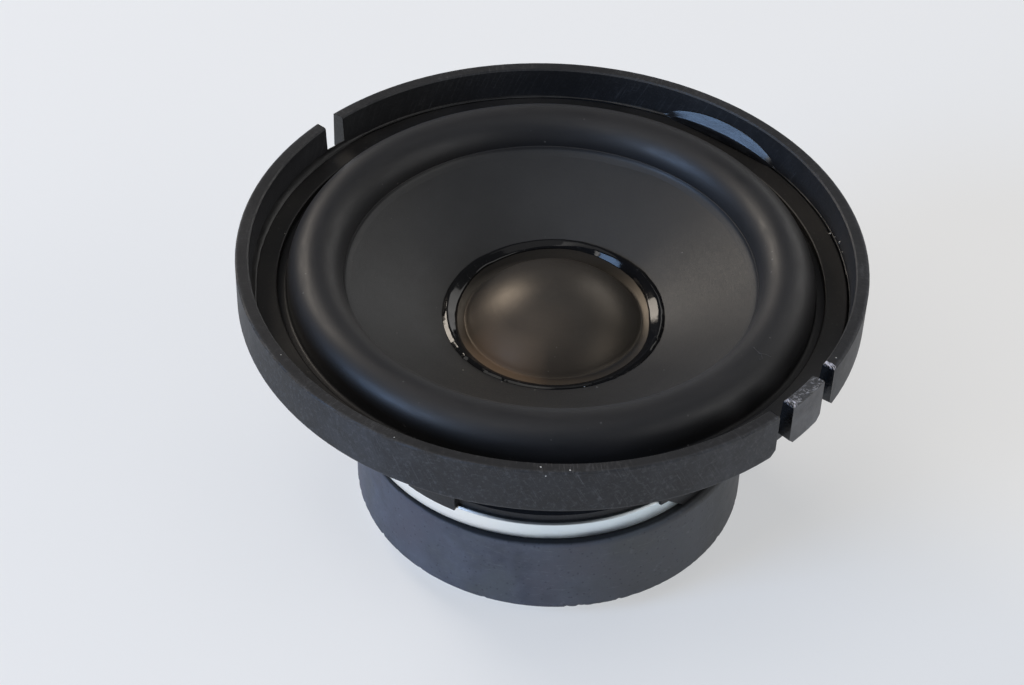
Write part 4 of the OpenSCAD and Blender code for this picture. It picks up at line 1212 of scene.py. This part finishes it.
def lead(name, side, node):
    """Eight strands plaited over and under round a core."""
    steps, sides = 300, 40
    line = smooth_route([at_terminal(side * (TAB_X - 0.8 * t), TAB_Y - 15.46 * t, z) for t, z in LEAD_ROUTE],
                        steps)
    verts, uv = [], []
    for i, p in enumerate(line):
        d = (line[min(i + 1, steps)] - line[max(i - 1, 0)]).normalized()
        up = d.cross(Vector((1, 0, 0))).normalized()
        across = up.cross(d)
        w = i / steps
        for k in range(sides + 1):
            u = k / sides
            one, two = (sin((u * LEAD_STRANDS + s * w * LEAD_TURNS) * pi) for s in (1, -1))
            over = min(1, max(0, one * two * 2.5 + 0.5))
            high = abs(one) * over + abs(two) * (1 - over)
            r = (LEAD_D / 2 - 0.09 + 0.08 * high) * MM
            verts.append(tuple(p + (across * cos(tau * u) + up * sin(tau * u)) * r))
            uv.append((u, w))
    faces = tube_faces(steps + 1, sides, sides + 1)
    o = add_object(name, verts, faces, M_BRAID, "lead_braid", None, node, uv=uv)
    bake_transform(o)


def solder(name, side):
    """Solder that holds a lead's end on its tab: a lump drawn out along the lead and wetted to the tab."""
    centre = Vector((side * TAB_X, 35.5, 34.15))
    tab_face = 35.12
    verts, faces = [], []
    rows, cols = 18, 28
    for i in range(rows + 1):
        lat = pi * i / rows
        for j in range(cols):
            lon = tau * j / cols
            x, y, z = sin(lat) * cos(lon), sin(lat) * sin(lon), cos(lat)
            lump = 1 + 0.14 * noise.noise(Vector((x * 1.6 + side, y * 1.6, z * 1.6 + 2)))
            wide = 0.86 - 0.24 * z + (0.22 if y < 0 else 0) * -y
            q = centre + Vector((x * wide * lump, y * 0.66 * lump, z * 1.15 * lump))
            q.y = max(q.y, tab_face)
            verts.append(tuple(at_terminal(*q)))
    for i in range(rows):
        faces += quads(i * cols, (i + 1) * cols, cols)
    add_object(name, verts, faces, M_SOLDER, "tinned_metal", CHASSIS)


for name, side in (("plus", 1), ("minus", -1)):
    lead(f"lead_braid_{name}", side, f"lead_{name}")
for name, side in (("plus", 1), ("minus", -1)):
    solder(f"solder_{name}", side)

# ---- floor, light and background
PALE = (0.86, 0.875, 0.89)
AIM = Vector((0, 0, 0.04))
LAMP_DIST = 1.4


def floor_material():
    """Matt white table. A half of what the camera and mirrors see of it, and nearly all of that far
    away, is plain white, so it stays pale and keeps its shadow."""
    k = Net("floor")
    v = k.coords()
    col = k.mix(k.ramp(k.noise(v, 3, 3, 0.5)), (0.79, 0.79, 0.795), (0.83, 0.83, 0.835))
    material = k.shader(col, 0.75, gloss=0.25)
    path = k.add("LightPath")
    seen = k.most(*(path.outputs[f"Is {kind} Ray"] for kind in ("Camera", "Glossy", "Transmission")))
    glow = k.add("Emission")
    k.fill(glow, Color=PALE)
    both = k.add("MixShader")
    k.link(k.mul(seen, k.ramp(k.polar(v)[0], 0.7, 2.4, 0.5, 0.97)), both.inputs[0])
    k.link(k.out.inputs["Surface"].links[0].from_socket, both.inputs[1])
    k.link(glow.outputs[0], both.inputs[2])
    k.link(both.outputs[0], k.out.inputs["Surface"])
    return material


# the floor turns up far away, so that a low view has no dark horizon (radius and height in metres)
sweep = [(0, 0), (1, 0), (4, 0), (8, 0), (9, 0.08), (9.7, 0.45), (10, 1), (10.05, 1.6)]
verts, faces = lathe([(r / MM, z / MM) for r, z in sweep], 96, closed=False)
mesh = bpy.data.meshes.new("floor")
mesh.from_pydata(verts, [], faces)
mesh.materials.append(floor_material())
weld_mesh(mesh, 1e-5)
floor = place("floor", mesh)

# direction and height in degrees, size in metres, power in watts
for name, az, el, size, power, color in (
    ("key", 132, 31, (0.5, 0.45), 8.2, (1, 0.90, 0.78)),
    ("window", 206, 24.5, (0.46, 0.44), 12.6, (0.38, 0.60, 1)),
    ("window_edge", 221, 25, (0.14, 0.36), 1.6, (1, 0.98, 0.95)),
    ("ceiling", 215, 62, (0.9, 0.9), 4.2, (1, 0.97, 0.93)),
    ("overhead", 0, 88, (1, 1), 1.6, (1, 0.98, 0.96)),
    ("right_wall", 340, 27, (1.2, 0.8), 5.8, (1, 0.99, 0.98)),
    ("back_wall", 48, 25, (1, 0.6), 3.5, (1, 0.98, 0.95)),
):
    data = bpy.data.lights.new(name, "AREA")
    data.shape = "RECTANGLE"
    data.size, data.size_y = size
    data.energy = power
    data.color = color
    lamp = place(name, data)
    a, e = radians(az), radians(el)
    lamp.location = Vector((cos(a) * cos(e), sin(a) * cos(e), sin(e))) * LAMP_DIST + AIM
    lamp.rotation_euler = (AIM - lamp.location).to_track_quat("-Z", "Y").to_euler()

world = bpy.data.worlds.new("studio")
bpy.context.scene.world = world
world.use_nodes = True
nodes = world.node_tree.nodes
light = nodes["Background"]
light.inputs["Color"].default_value = (0.93, 0.95, 1, 1)
light.inputs["Strength"].default_value = 0.125
# what the camera sees behind the floor's edge is pale; the light that it gives stays low
pale = nodes.new("ShaderNodeBackground")
pale.inputs["Color"].default_value = (*PALE, 1)
pale.inputs["Strength"].default_value = 1
path = nodes.new("ShaderNodeLightPath")
pick = nodes.new("ShaderNodeMixShader")
for a, b in ((path.outputs["Is Camera Ray"], pick.inputs[0]), (light.outputs[0], pick.inputs[1]),
             (pale.outputs[0], pick.inputs[2]), (pick.outputs[0], nodes["World Output"].inputs["Surface"])):
    world.node_tree.links.new(a, b)

bpy.context.scene.view_settings.view_transform = "Standard"
